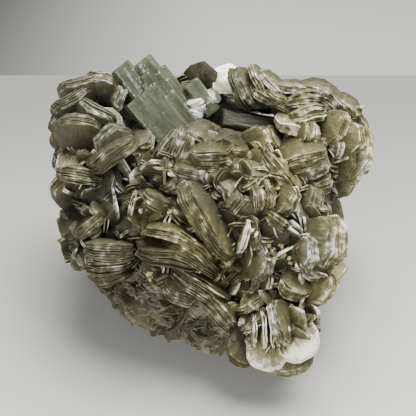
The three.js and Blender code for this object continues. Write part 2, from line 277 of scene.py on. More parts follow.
def addStage(settings):
    reach, back = settings["tableReach"], settings["tableBack"]
    table = boxMesh("table", (-reach, -reach, -settings["tableThickness"]), (reach, back, 0))
    far, drop = settings["backdropReach"], settings["backdropDrop"]
    backdrop = boxMesh("backdrop", (-far, -far, -drop - settings["backdropThickness"]), (far, far, -drop))
    fades = ((table, 1, "tableFade", "tableColour", "tableFarShade"),
             (backdrop, 0, "backdropFade", "backdropShade", "backdropColour"))
    # painted shade: the table darkens towards its back, the backdrop towards its left
    for mesh, axis, ends, first, last in fades:
        material, make, shader = newMaterial(mesh.name)
        fade = make.ranged(make.parts(make.objectPlace())[axis], 0.0, 1.0, settings[ends], "SMOOTHSTEP")
        colour = make.mixed(fade, settings[first], settings[last])
        make.fill(shader, {"Base Color": colour, "Roughness": settings["roughness"]})
        mesh.materials.append(material)
        linked(mesh.name, mesh)


def addPanel(name, place, size, power, colour, target):
    data = bpy.data.lights.new(name, "AREA")
    data.shape = "RECTANGLE"
    data.size, data.size_y = size
    data.energy = power
    data.color = colour
    linked(name, data).matrix_world = Matrix.Translation(place) @ lookAt(place, target)


lightSettings = {
    "roomColour": (0.97, 0.98, 1.0),
    "roomStrength": 0.24,
    "panelColour": (1.0, 0.985, 0.95),
    "panelPower": 13.6,
    "panelPlace": (0.12, 0.2, 0.57),
    "panelSize": (0.6, 0.42),
    "fillPower": 2.7,
    "fillPlace": (-0.2, -0.5, 0.32),
    "fillSize": (0.3, 0.3),
    "target": (0, 0, 0.03),
}


def addLight(settings):
    world = bpy.data.worlds.new("room")
    world.use_nodes = True
    background = world.node_tree.nodes["Background"].inputs
    background["Color"].default_value = (*settings["roomColour"], 1)
    background["Strength"].default_value = settings["roomStrength"]
    scene.world = world
    for name in ("panel", "fill"):
        addPanel(name, settings[name + "Place"], settings[name + "Size"], settings[name + "Power"],
                 settings["panelColour"], settings["target"])


addCamera(cameraSettings)
addStage(stageSettings)
addLight(lightSettings)
print("stage: camera, table and lights are in place")

# the form of the mass, in millimetres: each lobe's centre and half-sizes
massForm = {
    "faceTilt": 40,  # degrees that the display face leans back
    "heart": (0, 0, 36),
    "far": 200,  # in front of the face, beyond the mass
    "covered": 0.97,  # how near its surface a place counts as inside a lobe
    "searchCell": 8.0,
    "mica": {
        "core": ((2, 2, 34), (40, 35, 30)),
        "leftShoulder": ((-36, 14, 46), (18, 21, 20)),
        "belowLeftShoulder": ((-31, -6, 33), (20, 19, 17)),
        "leftCorner": ((-40, 26, 56), (14, 13, 14)),
        "backLeftRidge": ((-18, 32, 57), (22, 11, 13)),
        "rightShoulder": ((38, 18, 48), (18, 18, 19)),
        "belowRightShoulder": ((31, -14, 31), (15, 19, 17)),
        "backRightRidge": ((29, 33, 61), (28, 11, 10)),
        "saddle": ((3, 32, 57), (13, 9, 9)),
        "tip": ((22, -38, 18), (15, 14, 11)),
    },
    "rock": {
        "front": ((-7, -21, 17), (28, 21, 15)),
        "toe": ((4, -32, 14), (17, 14, 10)),
        "left": ((-28, -8, 18), (17, 17, 13)),
        "middle": ((0, -2, 10), (32, 30, 16)),
    },
}

faceTilt = math.radians(massForm["faceTilt"])
across = Vector((1, 0, 0))
upFace = Vector((0, math.sin(faceTilt), math.cos(faceTilt)))
outFace = Vector((0, -math.cos(faceTilt), math.sin(faceTilt)))
heart = Vector(massForm["heart"])
micaLobes = [(Vector(c), Vector(h)) for c, h in massForm["mica"].values()]
rockLobes = [(Vector(c), Vector(h)) for c, h in massForm["rock"].values()]
allLobes = micaLobes + rockLobes


def over(a, b):
    return Vector((a.x / b.x, a.y / b.y, a.z / b.z))


def times(a, b):
    return Vector((a.x * b.x, a.y * b.y, a.z * b.z))


def lobeNormal(lobe, point):
    centre, half = lobe
    return over(over(point - centre, half), half).normalized()


def onFace(x, y, out=0.0):
    # a place in front of the display face, by its plain directions
    return heart + across * x + upFace * y + outFace * out


def faceAt(x, y):
    # where a line straight into the display face meets the mass, or passes nearest to it
    far = massForm["far"]
    start = onFace(x, y, far)
    best = None
    for lobe in allLobes:
        s, d = over(start - lobe[0], lobe[1]), over(-outFace, lobe[1])
        a, b, c = d.dot(d), s.dot(d), s.dot(s) - 1
        root = b * b - a * c
        near = (-b - math.sqrt(root)) / a if root > 0 else None
        rank = near if near is not None else 10 * far + far * (c - b * b / a)
        if best is None or rank < best[0]:
            best = (rank, lobe, near if near is not None else -b / a)
    point = start - outFace * best[2]
    return point, lobeNormal(best[1], point)


def isInside(point, lobes):
    for centre, half in lobes:
        local = over(point - centre, half)
        if local.dot(local) < massForm["covered"]:
            return True
    return False


def evenDirection(index, count):
    z = 1 - (2 * index + 1) / count
    turn = index * math.pi * (3 - math.sqrt(5))
    flat = math.sqrt(1 - z * z)
    return Vector((flat * math.cos(turn), flat * math.sin(turn), z))


def skinPoints(lobes, step):
    # places spread evenly over the outside of a group of lobes, each with its normal
    found = []
    for lobe in lobes:
        centre, half = lobe
        # a close formula for the area of a lobe
        sides = sum((a * b) ** 1.6 for a, b in ((half.x, half.y), (half.x, half.z), (half.y, half.z)))
        area = 4 * math.pi * sides ** 0.625 / 3 ** 0.625
        count = int(area / (step * step))
        rest = [other for other in allLobes if other is not lobe]
        for i in range(count):
            point = centre + times(half, evenDirection(i, count))
            if not isInside(point, rest):
                found.append((point, lobeNormal(lobe, point)))
    return found


def thinned(places, gapAt, draw):
    # keeps places that are at least a gap apart, in a shuffled order
    order = list(range(len(places)))
    draw.shuffle(order)
    cell, grid, kept = massForm["searchCell"], {}, []
    for i in order:
        point, normal = places[i]
        gap = gapAt(normal)
        key = tuple(int(math.floor(v / cell)) for v in point)
        near = (grid.get(tuple(map(sum, zip(key, step))), ()) for step in product((-1, 0, 1), repeat=3))
        if all((point - other).length > gap for group in near for other in group):
            grid.setdefault(key, []).append(point)
            kept.append(places[i])
    return kept


def anyDirection(draw, *reaches):
    # a random vector, drawn evenly between each reach and its negative
    return Vector([draw.uniform(-reach, reach) for reach in reaches or (1, 1, 1)])


def leaning(normal, heading, lean):
    # rim and face directions of a book that leans over from the normal
    rim = normal * math.cos(lean) + heading * math.sin(lean)
    face = normal * math.sin(lean) - heading * math.cos(lean)
    return rim, face


def alongSkin(vector, normal):
    return (vector - normal * vector.dot(normal)).normalized()


crystalForm = {
    "turn": 129,  # of the growth direction, in the display face, in degrees
    "rise": 12,  # and out of it
    "clusterPlace": (-21, 39, 2),
    "hollowPlace": (12, 30.5, 1),
    "hollowTurn": 172,
    "bevel": 0.45,
    "ribBevel": 0.25,
    "ribsBelow": 2,  # a prism with less than this half width is a rib
    # side, out, end, half width, half depth, share of the front face, length, spin
    "cluster": [
        (-1, 0, 15.4, 4, 4.2, 0.72, 30, 2),
        (6.4, -0.6, 12.2, 4, 5, 0.6, 28, -4),
        (-1.8, 3.6, 3.4, 7.2, 4.2, 0.84, 20, 0),
        (5, 3.2, -2.6, 3.9, 3.8, 0.7, 14, 3),
        (9, -2.8, 6, 3.4, 4, 0.5, 22, 7),
        (3.4, 2.2, 8, 3, 3.2, 0.5, 18, 6),
    ],
    "ribs": [
        (6.2, 3.3, 11.0, 1.3, 1.5, 0.6, 15, 6),
        (8.2, 2.9, 9.4, 1.2, 1.5, 0.6, 16, -4),
        (9.5, 1.2, 6.4, 1.0, 1.6, 0.5, 14, -6),
        (4.2, 3.4, 7.0, 1.3, 1.5, 0.6, 12, -3),
        (7.2, 4.1, 5.2, 1.6, 1.2, 0.7, 10, 5),
        (9.2, 3.3, 1.6, 1.2, 1.4, 0.6, 10, 4),
        (0.6, 3.0, 11.6, 1.8, 1.4, 0.7, 10, -4),
        (-3.4, 2.6, 10.2, 1.4, 1.5, 0.6, 10, 6),
        (1.9, 4.0, 5.6, 1.8, 1.7, 0.7, 8, 3),
    ],
    "rear": (15, -1, -4.6, 3.6, 3.4, 0.7, 14, 2),
    "hollow": (0, 0, 8, 4.8, 4.6, 0.55, 21, 11),
}


def crystalFrame(place, turn):
    turn, rise = math.radians(turn), math.radians(crystalForm["rise"])
    inFace = across * math.cos(turn) + upFace * math.sin(turn)
    axis = inFace * math.cos(rise) + outFace * math.sin(rise)
    side = -outFace.cross(axis).normalized()
    inward = axis.cross(side)
    origin = faceAt(place[0], place[1])[0] + outFace * place[2]
    return Matrix(((side.x, inward.x, axis.x, origin.x), (side.y, inward.y, axis.y, origin.y),
                   (side.z, inward.z, axis.z, origin.z), (0, 0, 0, 1)))


clusterFrame = crystalFrame(crystalForm["clusterPlace"], crystalForm["turn"])
hollowFrame = crystalFrame(crystalForm["hollowPlace"], crystalForm["hollowTurn"])
crystalBoxes = ((clusterFrame.inverted(), crystalForm["cluster"] + [crystalForm["rear"]]),
                (hollowFrame.inverted(), [crystalForm["hollow"]]))


def inCrystal(point, grow, ahead):
    # inside a crystal's box, grown a little and carried forward out of the face
    for back, prisms in crystalBoxes:
        local = back @ point
        for side, out, end, halfWidth, halfDepth, share, length, spin in prisms:
            beside = abs(local.x - side) <= halfWidth + grow
            along = end - length < local.z < end + grow
            if beside and along and -halfDepth - grow - ahead < local.y + out < halfDepth + grow:
                return True
    return False


def span(ends, share):
    return ends[0] + (ends[1] - ends[0]) * share


def drawnSizes(settings, draw):
    return [span(settings[key], draw.random()) for key in ("thickness", "width", "reach")]


def sheetCount(thickness, fan, reach, pitch, fewest):
    return max(fewest, round((thickness + math.radians(fan) * reach) / pitch))


bookSettings = {
    "root": 4,  # how deep a book of the face is rooted
    "setback": 1.5,
    "proud": 1.6,  # and how much further it stands out than its solid
    "fanShare": 0.6,
    "pitch": 0.34,  # between neighbouring sheets, at the rim
    "fewest": 3,
    "flatter": 0.65,  # how much of its bow an open book loses
    "flatFrom": 30,  # the degrees of opening where that starts
    "flatOver": 25,  # and over how many more it grows
    "terrace": (0.03, 0.05),  # how far the last sheet steps back, and how much more where it faces out
    "sideToneAndLight": 0.16,  # how much brighter the right is than the middle, and the left darker: partly the mass's own tone, partly painted light from the right
    "sideReach": 40,  # this far out, in full
}


class Book:
    # one book: its root, its three directions and its sizes, in millimetres
    def __init__(self, root, rim, face, width, reach, thickness, sheets, fan, curl, arch, tone):
        self.root, self.rim = root, rim.normalized()
        self.face = (face - self.rim * face.dot(self.rim)).normalized()
        self.edge = self.rim.cross(self.face)
        self.width, self.reach, self.thickness, self.sheets = width, reach, thickness, sheets
        self.fan, self.curl, self.arch, self.tone = fan, curl, arch, tone

    def terrace(self):
        # books seen open step back from sheet to sheet
        least, more = bookSettings["terrace"]
        return least + more * max(0, self.face.dot(outFace)) ** 2

    def middle(self):
        return self.root + self.rim * self.reach * 0.5

    def hidesCrystal(self, grow, ahead):
        places = (self.middle(), self.root + self.rim * self.reach)
        return any(inCrystal(place, grow, ahead) for place in places)

    def corners(self):
        for u, v, w in product((-0.5, 0, 0.5), (0.55, 1), (-0.5, 0.5)):
            spread = math.radians(self.fan) * w * v
            out = w * self.thickness + spread * self.reach * v + self.arch * self.width * (0.5 - abs(u))
            yield self.root + self.edge * u * self.width + self.rim * v * self.reach + self.face * out


boxSettings = {
    "margin": 0.3,
    "tries": 12,
    # at each try a book gets shorter, narrower and deeper
    "shorter": 0.95,
    "narrower": 0.96,
    "deeper": 0.35,
}
boxLow = [v / mm + boxSettings["margin"] for v in cadBox[0]]
boxHigh = [v / mm - boxSettings["margin"] for v in cadBox[1]]


def keptInBox(book):
    # draws a book in until none of its corners is outside the specimen's own box
    for _ in range(boxSettings["tries"]):
        if all(boxLow[i] < corner[i] < boxHigh[i] for corner in book.corners() for i in range(3)):
            return True
        book.reach *= boxSettings["shorter"]
        book.width *= boxSettings["narrower"]
        book.root -= book.rim * boxSettings["deeper"]
    return False


# across and up the face; turn of the visible edge; open, from 0 edge-on to 90 face-on; width,
# reach and thickness; then, where they differ from the group: fan, curl, arch and tone; and, for a
# book on top of others, how far it is lifted
faceBooks = {
    "leftShoulder": {
        "round": True,
        "fan": 7, "curl": -28, "arch": 0.18, "tone": 0.0,
        "books": [
            (-44, 38.5, -165, 38, 18, 10, 2.4, 7, -15, 0.3, 0.15),
            (-38.5, 40, 170, 40, 14, 9, 3, 7, -20, 0.25, 0.3),
            (-45.5, 34, -148, 28, 19, 10, 3, 7, -15, 0.26, -0.1),
            (-42, 29.5, 150, 40, 16, 9, 3, 8, -20, 0.25, 0.0),
            (-49.5, 29, -140, 30, 16, 10, 3, 8, -15, 0.25, 0.1),
            (-45, 22.5, 178, 45, 18, 10, 3, 7, -30, 0.28, -0.05),
            (-53.5, 34, -110, 45, 15, 10, 3),
            (-46, 18, -10, 55, 14, 8, 2, 7, -20, 0.12, 0.5),
            (-53.5, 18.5, -110, 55, 17, 12, 3),
            (-44, 12.5, -8, 14, 17, 10, 3.4, 10, 0, 0.08, 0.15),
            (-53, 9.5, -120, 55, 17, 12, 3),
            (-40.5, 5, 60, 60, 13, 9, 3),
            (-41.5, -4, 40, 20, 12, 8, 2.5, 12, 0, 0.05, -0.1),
            (-48.5, -3, 25, 35, 12, 8, 2.5),
            (-47, 3.5, -140, 50, 13, 10, 3),
            (-55.5, 26, -100, 50, 15, 12, 3),
        ],
    },
    "leftOfMiddle": {
        "fan": 10, "curl": -10, "arch": 0.12, "tone": -0.1,
        "books": [
            (-34, 20.5, 36, 25, 23, 12, 4, 6, -5, 0.12, -0.05),
            (-26.5, 16, -140, 60, 17, 14, 4, 14, -20, 0.16, 0.1),
            (-34.5, 40.5, 75, 45, 13, 8, 3, 7, 15, 0.25, 0.5),
            (-34.5, 33.5, -25, 62, 14, 9, 2.4, 8, -20, 0.25, 0.55, 3),
            (-24.5, 26.5, 25, 40, 14, 11, 3, 10, -10, 0.1, 0.3),
            (-37, 9, 70, 50, 13, 8, 3),
            (-17.5, 16.5, 60, 25, 9, 8, 2.5),
        ],
    },
    "belowAquamarine": {
        "fan": 16, "curl": -12, "arch": 0.08, "tone": 0.1,
        "books": [
            (-2, 27.5, -35, 30, 13, 10, 4, 12, -15, 0.3, 0.2),
            (1, 20.5, -5, 25, 16, 10, 5),
            (-16, 23, 52, 20, 15, 10, 3, 20, 0, 0.04, 0.3),
            (-12, 22.5, 65, 15, 14, 10, 2.5, 20, 0, 0.04, 0.25),
            (-6, 13.5, -10, 20, 14, 8, 3),
            (-4.5, 39.5, 20, 30, 7.5, 3.5, 2, 12, -20, 0.1, 1.0, 3.5),
            (-4.5, 35.5, -15, 25, 8, 4, 2, 12, -20, 0.1, 1.0, 3),
            (-1.5, 38, -50, 30, 6, 3, 1.6, 12, -20, 0.1, 0.7, 3.5),
            (2.2, 41.5, -50, 25, 6, 3, 1.2, 12, -20, 0.1, 0.9, 4),
            (-10, 23, 78, 15, 10, 8, 2),
            (-13, 10.5, 45, 20, 9, 7, 2),
            (-6, 24.5, -75, 30, 11, 8, 3),
            (4.5, 26.5, 12, 28, 9, 7, 2.4, 18, -10, 0.1, -0.3),
            (8.5, 24.5, -20, 26, 10, 7, 2.6, 20, -10, 0.1, -0.2),
            (6, 21.5, 38, 24, 8, 7, 2.2, 18, -8, 0.1, -0.3),
            (10.5, 21.5, -8, 22, 8, 7, 2.2, 18, -8, 0.1, -0.2),
        ],
    },
    "middle": {
        "fan": 14, "curl": -8, "arch": 0.06, "tone": 0.0,
        "books": [
            (0.5, 0, -62, 25, 26, 11, 4, 14, -8, 0.08, -0.1),
            (4.5, -6, -58, 35, 22, 10, 4, 12, -8, 0.08, 0.0),
            (-26.5, 1.5, 78, 6, 10.5, 9, 0.7, 4, 0, 0, 0.6),
            (-21, -0.5, 85, 50, 9, 7, 4, 10, -25, 0.15, 0.2),
            (10.5, -9, 74, 10, 13, 10, 0.6, 5, 0, 0.03, 0.6),
            (19.5, -11, 155, 62, 13, 9, 2, 6, -10, 0.1, -0.45),
            (19, 3, 80, 8, 10, 7, 2),
            (13, -19, 80, 50, 12, 9, 4, 14, -15, 0.1, 0.15),
            (-31, 1.5, 97, 5, 10.5, 9, 0.6, 4, 0, 0, 0.6),
            (6.5, 3, 55, 20, 9, 7, 2),
            (14.5, 3, 95, 12, 9, 7, 2),
            (-16, 4, -30, 15, 12, 7, 2.5),
            (24, -3, -40, 10, 11, 8, 2),
            (23, 4, 60, 35, 11, 8, 3),
        ],
    },
    "rightOfMiddle": {
        "fan": 20, "curl": -15, "arch": 0.07, "tone": 0.15,
        "books": [
            (25.5, 16, -48, 15, 14, 9, 2.5),
            (37, 10.5, 15, 30, 14, 9, 3),
            (15.5, 15, -5, 40, 11, 9, 3, 12, -15, 0.08, -0.1),
            (14.5, 24, 95, 55, 10, 8, 3),
            (24, 25, -50, 30, 13, 9, 3),
            (43.5, 6.5, -70, 35, 12, 9, 2, 10, -10, 0.05, 0.1),
            (33, 4.5, 70, 30, 10, 8, 3),
            (29, 11, -55, 20, 13, 9, 3),
            (31.5, 27, 80, 20, 10, 8, 3),
        ],
    },
    "roundOfRight": {
        "round": True,
        "books": [
            (30.5, 20.5, 15, 36, 19, 11, 6, 26, -14, 0.16, -0.05, 1),
        ],
    },
    "lowerRight": {
        "fan": 12, "curl": -20, "arch": 0.14, "tone": 0.1,
        "books": [
            (33.5, -10, 80, 40, 17, 10, 4),
            (38, -10, 85, 35, 18, 9, 4),
            (45, -3, -82, 40, 17, 8, 3),
            (40.5, -9, 85, 25, 17, 9, 0.8, 5, -15, 0.12, 0.95),
            (29, -14, 84, 30, 11, 8, 2, 14, -10, 0.12, 0.3),
            (30, -24, -25, 40, 12, 8, 3),
            (34, -26, 65, 60, 14, 8, 4),
            (37, -17, -60, 50, 12, 6, 3),
        ],
    },
    "lowerLeft": {
        "fan": 12, "curl": -8, "arch": 0.1, "tone": -0.05,
        "books": [
            (-32.5, -12.5, -3, 12, 18, 11, 5, 10, -5, 0.03, 0.1),
            (-33, -17, 4, 15, 17, 10, 5, 12, -5, 0.04, 0.0),
            (-33, -22.5, 18, 20, 14, 8, 3),
            (-10, -8.5, -18, 14, 25, 11, 2.4, 6, -10, 0.2, 0.2),
            (-11, -12.5, -12, 26, 26, 11, 3.4, 8, -15, 0.2, -0.5),
            (-5, -15, -30, 12, 24, 11, 3, 8, -10, 0.2, -0.35),
            (-3, -12.5, -40, 14, 20, 10, 3, 8, -10, 0.16, -0.1),
            (-8, -23, -14, 50, 15, 11, 3, 12, -20, 0.25, 0.25),
            (-1, -25, -35, 15, 24, 11, 4),
            (4, -31, -45, 12, 22, 10, 4),
            (13, -29, 32, 12, 13, 9, 2, 6, 0, 0.03, 0.2),
            (13.5, -35, 38, 15, 12, 8, 2, 6, 0, 0.03, 0.1),
            (-16, -23, 30, 20, 9, 7, 3),
        ],
    },
    "tip": {
        "round": True,
        "fan": 8, "curl": -12, "arch": 0.06, "tone": 0.2,
        "books": [
            (13.2, -39.5, 90, 5, 12, 10, 0.5, 2, 0, 0.03, 0.55),
            (16.4, -38.5, 92, 5, 13, 11, 0.5, 2, 0, 0.03, 0.6),
            (20.4, -38, -84, 6, 17, 11.5, 0.6, 3, 0, 0.04, 0.45),
            (23.4, -36.5, -78, 16, 17, 11.5, 1, 6, 0, 0.08, 0.0),
            (26.5, -35.5, -70, 26, 15, 11.5, 1, 6, 0, 0.08, 0.1),
            (27.5, -40.5, 35, 68, 18, 12, 1.2, 5, -14, 0.1, 0.85),
            (25, -43.5, -2, 76, 21, 11.5, 1.4, 5, -14, 0.1, -0.1, -2.5),
            (19, -44, -8, 84, 15.5, 10, 1, 5, -14, 0.12, 0.7, 0.9),
            (13, -42.5, -28, 70, 13, 9, 2, 6, -12, 0.1, -0.4, -1.5),
        ],
    },
    "backRidge": {
        "fan": 12, "curl": -10, "arch": 0.14, "tone": 0.1,
        "books": [
            (-5, 48, 127, 68, 15, 9, 1.2, 4, 0, 0.05, -0.8),
            (6.5, 45.5, 188, 120, 14, 11, 1.2, 4, -10, 0.05, 1.0, 1.5),
            (14, 45, -66, 28, 17, 11, 1.4, 5, -6, 0.06, -0.15),
            (17.5, 46, -60, 34, 17, 11, 1.4, 6, -6, 0.06, 0.05),
            (20.5, 47, -64, 20, 16, 10, 1.2, 5, -6, 0.05, 0.3),
            (22.5, 44, -35, 34, 14, 10, 1.6, 7, -8, 0.06, 0.0),
            (25, 47.5, -42, 25, 15, 9, 1.2, 7, -8, 0.06, 0.35),
            (28, 41, -28, 34, 16, 9, 2.4, 10, -10, 0.1, 0.1),
            (31.5, 46, -8, 22, 15, 9, 1.4, 8, -8, 0.08, 0.4),
            (35, 40.5, 3, 12, 17, 12, 3, 10, -12, 0.2, 0.15),
            (35, 36.5, 8, 18, 16, 11, 4, 10, -12, 0.2, 0.2),
            (41.5, 42.5, -24, 30, 21, 8, 4, 8, -12, 0.2, 0.2),
            (52.5, 37.5, -42, 30, 15, 8, 3, 8, -12, 0.16, 0.15),
            (58, 32, 112, 60, 15, 9, 3, 8, -12, 0.16, 0.2),
            (49, 20, 80, 65, 20, 9, 1.6, 5, -6, 0.04, 0.3),
            (45, 17, 84, 50, 17, 7, 1.6, 5, -6, 0.04, -0.3),
            (46.5, 9, 70, 60, 14, 6, 2, 6, -6, 0.04, 0.2),
            (29, 33.5, -8, 30, 15, 10, 2.5, 6, -12, 0.1, 0.4),
            (41.5, 30, 60, 50, 14, 9, 3),
            (45.5, 25, 85, 60, 12, 9, 3),
        ],
    },
}


def makeFaceBooks(settings):
    books = {"hero": [], "round": []}
    for group in faceBooks.values():
        kind = "round" if group.get("round") else "hero"
        for row in group["books"]:
            x, y, turn, opened, width, reach, thickness = row[:7]
            fan, curl, arch, tone = row[7:11] or (group["fan"], group["curl"], group["arch"], group["tone"])
            lift = row[11] if len(row) > 11 else 0
            point, normal = faceAt(x, y)
            turn, opened = math.radians(turn), math.radians(opened)
            beside = across * -math.sin(turn) + upFace * math.cos(turn)
            rim = outFace * math.cos(opened) - beside * math.sin(opened)
            face = beside * math.cos(opened) + outFace * math.sin(opened)
            if rim.dot(normal) < 0 and not lift:
                rim = -rim
            root = point - normal * settings["setback"] - rim * settings["root"] + outFace * lift
            reach += settings["root"] + settings["proud"]
            fan *= settings["fanShare"]
            sheets = sheetCount(thickness, fan, reach, settings["pitch"], settings["fewest"])
            flat = min(1, max(0, math.degrees(opened) - settings["flatFrom"]) / settings["flatOver"])
            bow = 1 - flat * settings["flatter"]
            book = Book(root, rim, face, width, reach, thickness, sheets, fan, curl * bow, arch * bow, tone)
            if keptInBox(book):
                books[kind].append(book)
    return books


# how many clusters have each style, and how far a book leans: at the middle, further for every
# millimetre from it, and by chance, in degrees
clusterStyles = {
    "rose": {"share": 3, "lean": 16, "steeper": 6, "chance": (-9, 9)},
    "fan": {"share": 2, "lean": 0, "steeper": 7, "chance": (-7, 7)},
    "stack": {"share": 3, "lean": 36, "steeper": 0, "chance": (-9, 9)},
    "shell": {"share": 3, "lean": 58, "steeper": 0, "chance": (-12, 12)},
    "loose": {"share": 5, "lean": 0, "steeper": 0, "chance": (0, 55)},
}

leanSettings = {
    "roseHeart": 1.5,  # nearer to the middle than this, a rose's books take its own direction
    "limits": (-1.2, 1.25),  # of a lean, in radians
    "upright": 0.45,  # a book that leans less than this turns its face outwards and up
    "up": 0.6,  # how much of that is up, and how much shells point down
    "stray": 16,  # of a heading, in degrees
}


def fillDirections(style, place, normal, centre, axis, draw):
    # rim and face directions of a book that belongs to a cluster of a style
    away = place - centre
    away -= normal * away.dot(normal)
    spin = axis - normal * axis.dot(normal)
    spin.normalize()
    offset = 0
    if style == "rose":
        offset = away.length
        heading = away.normalized() if offset > leanSettings["roseHeart"] else spin
    elif style == "fan":
        heading = normal.cross(spin)
        offset = away.dot(heading)
    elif style == "stack":
        heading = normal.cross(spin)
    elif style == "loose":
        heading = Matrix.Rotation(draw.uniform(0, 2 * math.pi), 3, normal) @ spin
    else:
        heading = (spin - Vector((0, 0, leanSettings["up"]))).normalized()
        heading -= normal * heading.dot(normal)
        heading.normalize()
    leans = clusterStyles[style]
    lean = math.radians(leans["lean"] + leans["steeper"] * offset + draw.uniform(*leans["chance"]))
    least, most = leanSettings["limits"]
    lean = max(least, min(most, lean))
    stray = math.radians(draw.uniform(-leanSettings["stray"], leanSettings["stray"]))
    rim, face = leaning(normal, Matrix.Rotation(stray, 3, normal) @ heading, lean)
    if lean < leanSettings["upright"] and face.dot(outFace + Vector((0, 0, leanSettings["up"]))) < 0:
        face = -face
    return rim, face


# when a book would hide one of the face
crowdSettings = {
    "beside": 0.5,  # nearer to its middle than these shares of its width, along its edge and in all
    "near": 0.8,
    "edgeOn": 0.3,  # a book that shows less of its reach than this counts by its thickness
    "behind": 3,  # how far behind its middle another book already hides it
}


def isCrowded(place, hero):
    # true where a book would stand over the width or in front of the reach of a book of the face
    away = place - (hero.root + hero.rim * hero.reach * 0.5)
    beside, near = hero.width * crowdSettings["beside"], hero.width * crowdSettings["near"]
    if abs(away.dot(hero.edge)) > beside or away.length > near:
        return False
    seen = hero.rim - outFace * hero.rim.dot(outFace)
    if seen.length > crowdSettings["edgeOn"]:
        return away.dot(seen.normalized()) > -hero.thickness - crowdSettings["behind"]
    return abs(away.dot(hero.face)) < hero.thickness


fillSettings = {
    "seed": 29,
    "frontGap": 2.4,
    "backGap": 3.6,
    "clusterGap": 15,
    "clusterTone": 0.18,
    "step": 1.3,  # between the places that are tried
    "width": (6, 15),
    "reach": (7, 11),
    "thickness": (0.4, 1.7),
    "fan": (4, 20),
    "curl": (-26, 8),
    "arch": (0, 0.15),
    "tone": (-0.45, 0.45),
    "root": 3.6,
    "sunk": 0.4,
    "proud": 0.3,
    "pitch": 0.32,
    "backPitch": 0.6,
    "fewest": 2,
    "thinner": 1.5,  # above 1, thin books are more common
    "lowest": 6,
    "clearOfCrystal": 3.0,
    "clearAhead": 14,
    # places that face the display side less than this take the back's gap or pitch, or lie flat
    "gapFacing": -0.15,
    "pitchFacing": -0.2,
    "flatFacing": 0.1,
    # how far inside each lobe its books are rooted
    "drawnIn": {
        "tip": 3.8, "backRightRidge": 4.2, "backLeftRidge": 2.2, "saddle": 1.0, "belowLeftShoulder": 2.6,
        "belowRightShoulder": 2.6, "leftShoulder": -1.0, "rightShoulder": 1.0,
    },
    # lobes whose hidden side carries books like roof tiles
    "lyingFlat": ("tip", "backRightRidge", "backLeftRidge"),
    "crowded": 0.62,  # the size of a book that would hide one of the face
    "crowdedLeftOut": 0.4,
    "shoulderLeftOut": 0.85,  # the left shoulder shows almost nothing but its large books
    "shoulderSide": -27,
    "shoulderHeight": 38,
}


def makeFillBooks(heroes, settings):
    draw = random.Random(settings["seed"])
    skin, flat = [], set()
    for name, lobe in zip(massForm["mica"], micaLobes):
        inward = settings["drawnIn"].get(name, 0)
        places = [(point - normal * inward, normal) for point, normal in skinPoints([lobe], settings["step"])
                  if point.z > settings["lowest"]]
        skin += places
        if name in settings["lyingFlat"]:
            facing = settings["flatFacing"]
            flat.update(tuple(point) for point, normal in places if normal.dot(outFace) < facing)

    def gapAt(normal):
        return settings["frontGap" if normal.dot(outFace) > settings["gapFacing"] else "backGap"]

    shares = [style["share"] for style in clusterStyles.values()]
    centres = thinned(skin, lambda normal: settings["clusterGap"], draw)
    styles = [(draw.choices(tuple(clusterStyles), shares)[0], anyDirection(draw),
               draw.uniform(-settings["clusterTone"], settings["clusterTone"])) for _ in centres]
    books = []
    for place, normal in thinned(skin, gapAt, draw):
        nearest = min(range(len(centres)), key=lambda i: (centres[i][0] - place).length_squared)
        style, axis, clusterTone = styles[nearest]
        style = "shell" if tuple(place) in flat else style
        rim, face = fillDirections(style, place, normal, centres[nearest][0], axis, draw)
        small = 1
        if any(isCrowded(place, hero) for hero in heroes):
            onShoulder = place.x < settings["shoulderSide"] and place.z > settings["shoulderHeight"]
            if draw.random() < settings["shoulderLeftOut" if onShoulder else "crowdedLeftOut"]:
                continue
            small = settings["crowded"]
        thickness = span(settings["thickness"], draw.random() ** settings["thinner"]) * small
        root = place - rim * settings["root"] - normal * settings["sunk"]
        width = span(settings["width"], draw.random()) * small
        reach = span(settings["reach"], draw.random()) * small + settings["proud"]
        fan = draw.uniform(*settings["fan"])
        pitch = settings["pitch" if normal.dot(outFace) > settings["pitchFacing"] else "backPitch"]
        sheets = sheetCount(thickness, fan, reach, pitch, settings["fewest"])
        book = Book(root, rim, face, width, reach, thickness, sheets, fan, draw.uniform(*settings["curl"]),
                    draw.uniform(*settings["arch"]), clusterTone + draw.uniform(*settings["tone"]))
        if not book.hidesCrystal(settings["clearOfCrystal"], settings["clearAhead"]) and keptInBox(book):
            books.append(book)
    return books


chipSettings = {
    "seed": 83,
    "step": 1.1,
    "gap": 3.8,
    "width": (3, 10),
    "reach": (6.5, 9),
    "thickness": (0.12, 0.26),
    "sheets": (1, 2, 2),
    "fan": (2, 12),
    "curl": (-20, 20),
    "tone": (-0.2, 0.75),
    "root": 4.0,
    "lift": (0, 1.2),
    "lean": (0, 40),
    "facing": 0.55,  # chips lie only where the mass faces the display side this much
    "lowest": 20,
    "highest": 61,
    "clearOfCrystal": 1.2,
    "clearAhead": 12,
}


def makeChips(settings):
    draw = random.Random(settings["seed"])
    low, high = settings["lowest"], settings["highest"]
    skin = [(point, normal) for point, normal in skinPoints(micaLobes, settings["step"])
            if low < point.z < high and normal.dot(outFace) > settings["facing"]]
    books = []
    for place, normal in thinned(skin, lambda normal: settings["gap"], draw):
        heading = alongSkin(anyDirection(draw), normal)
        rim, face = leaning(normal, heading, math.radians(span(settings["lean"], draw.random())))
        root = place + normal * draw.uniform(*settings["lift"]) - rim * settings["root"]
        thickness, width, reach = drawnSizes(settings, draw)
        book = Book(root, rim, face, width, reach, thickness, draw.choice(settings["sheets"]),
                    draw.uniform(*settings["fan"]), draw.uniform(*settings["curl"]), 0,
                    draw.uniform(*settings["tone"]))
        if not book.hidesCrystal(settings["clearOfCrystal"], settings["clearAhead"]) and keptInBox(book):
            books.append(book)
    return books


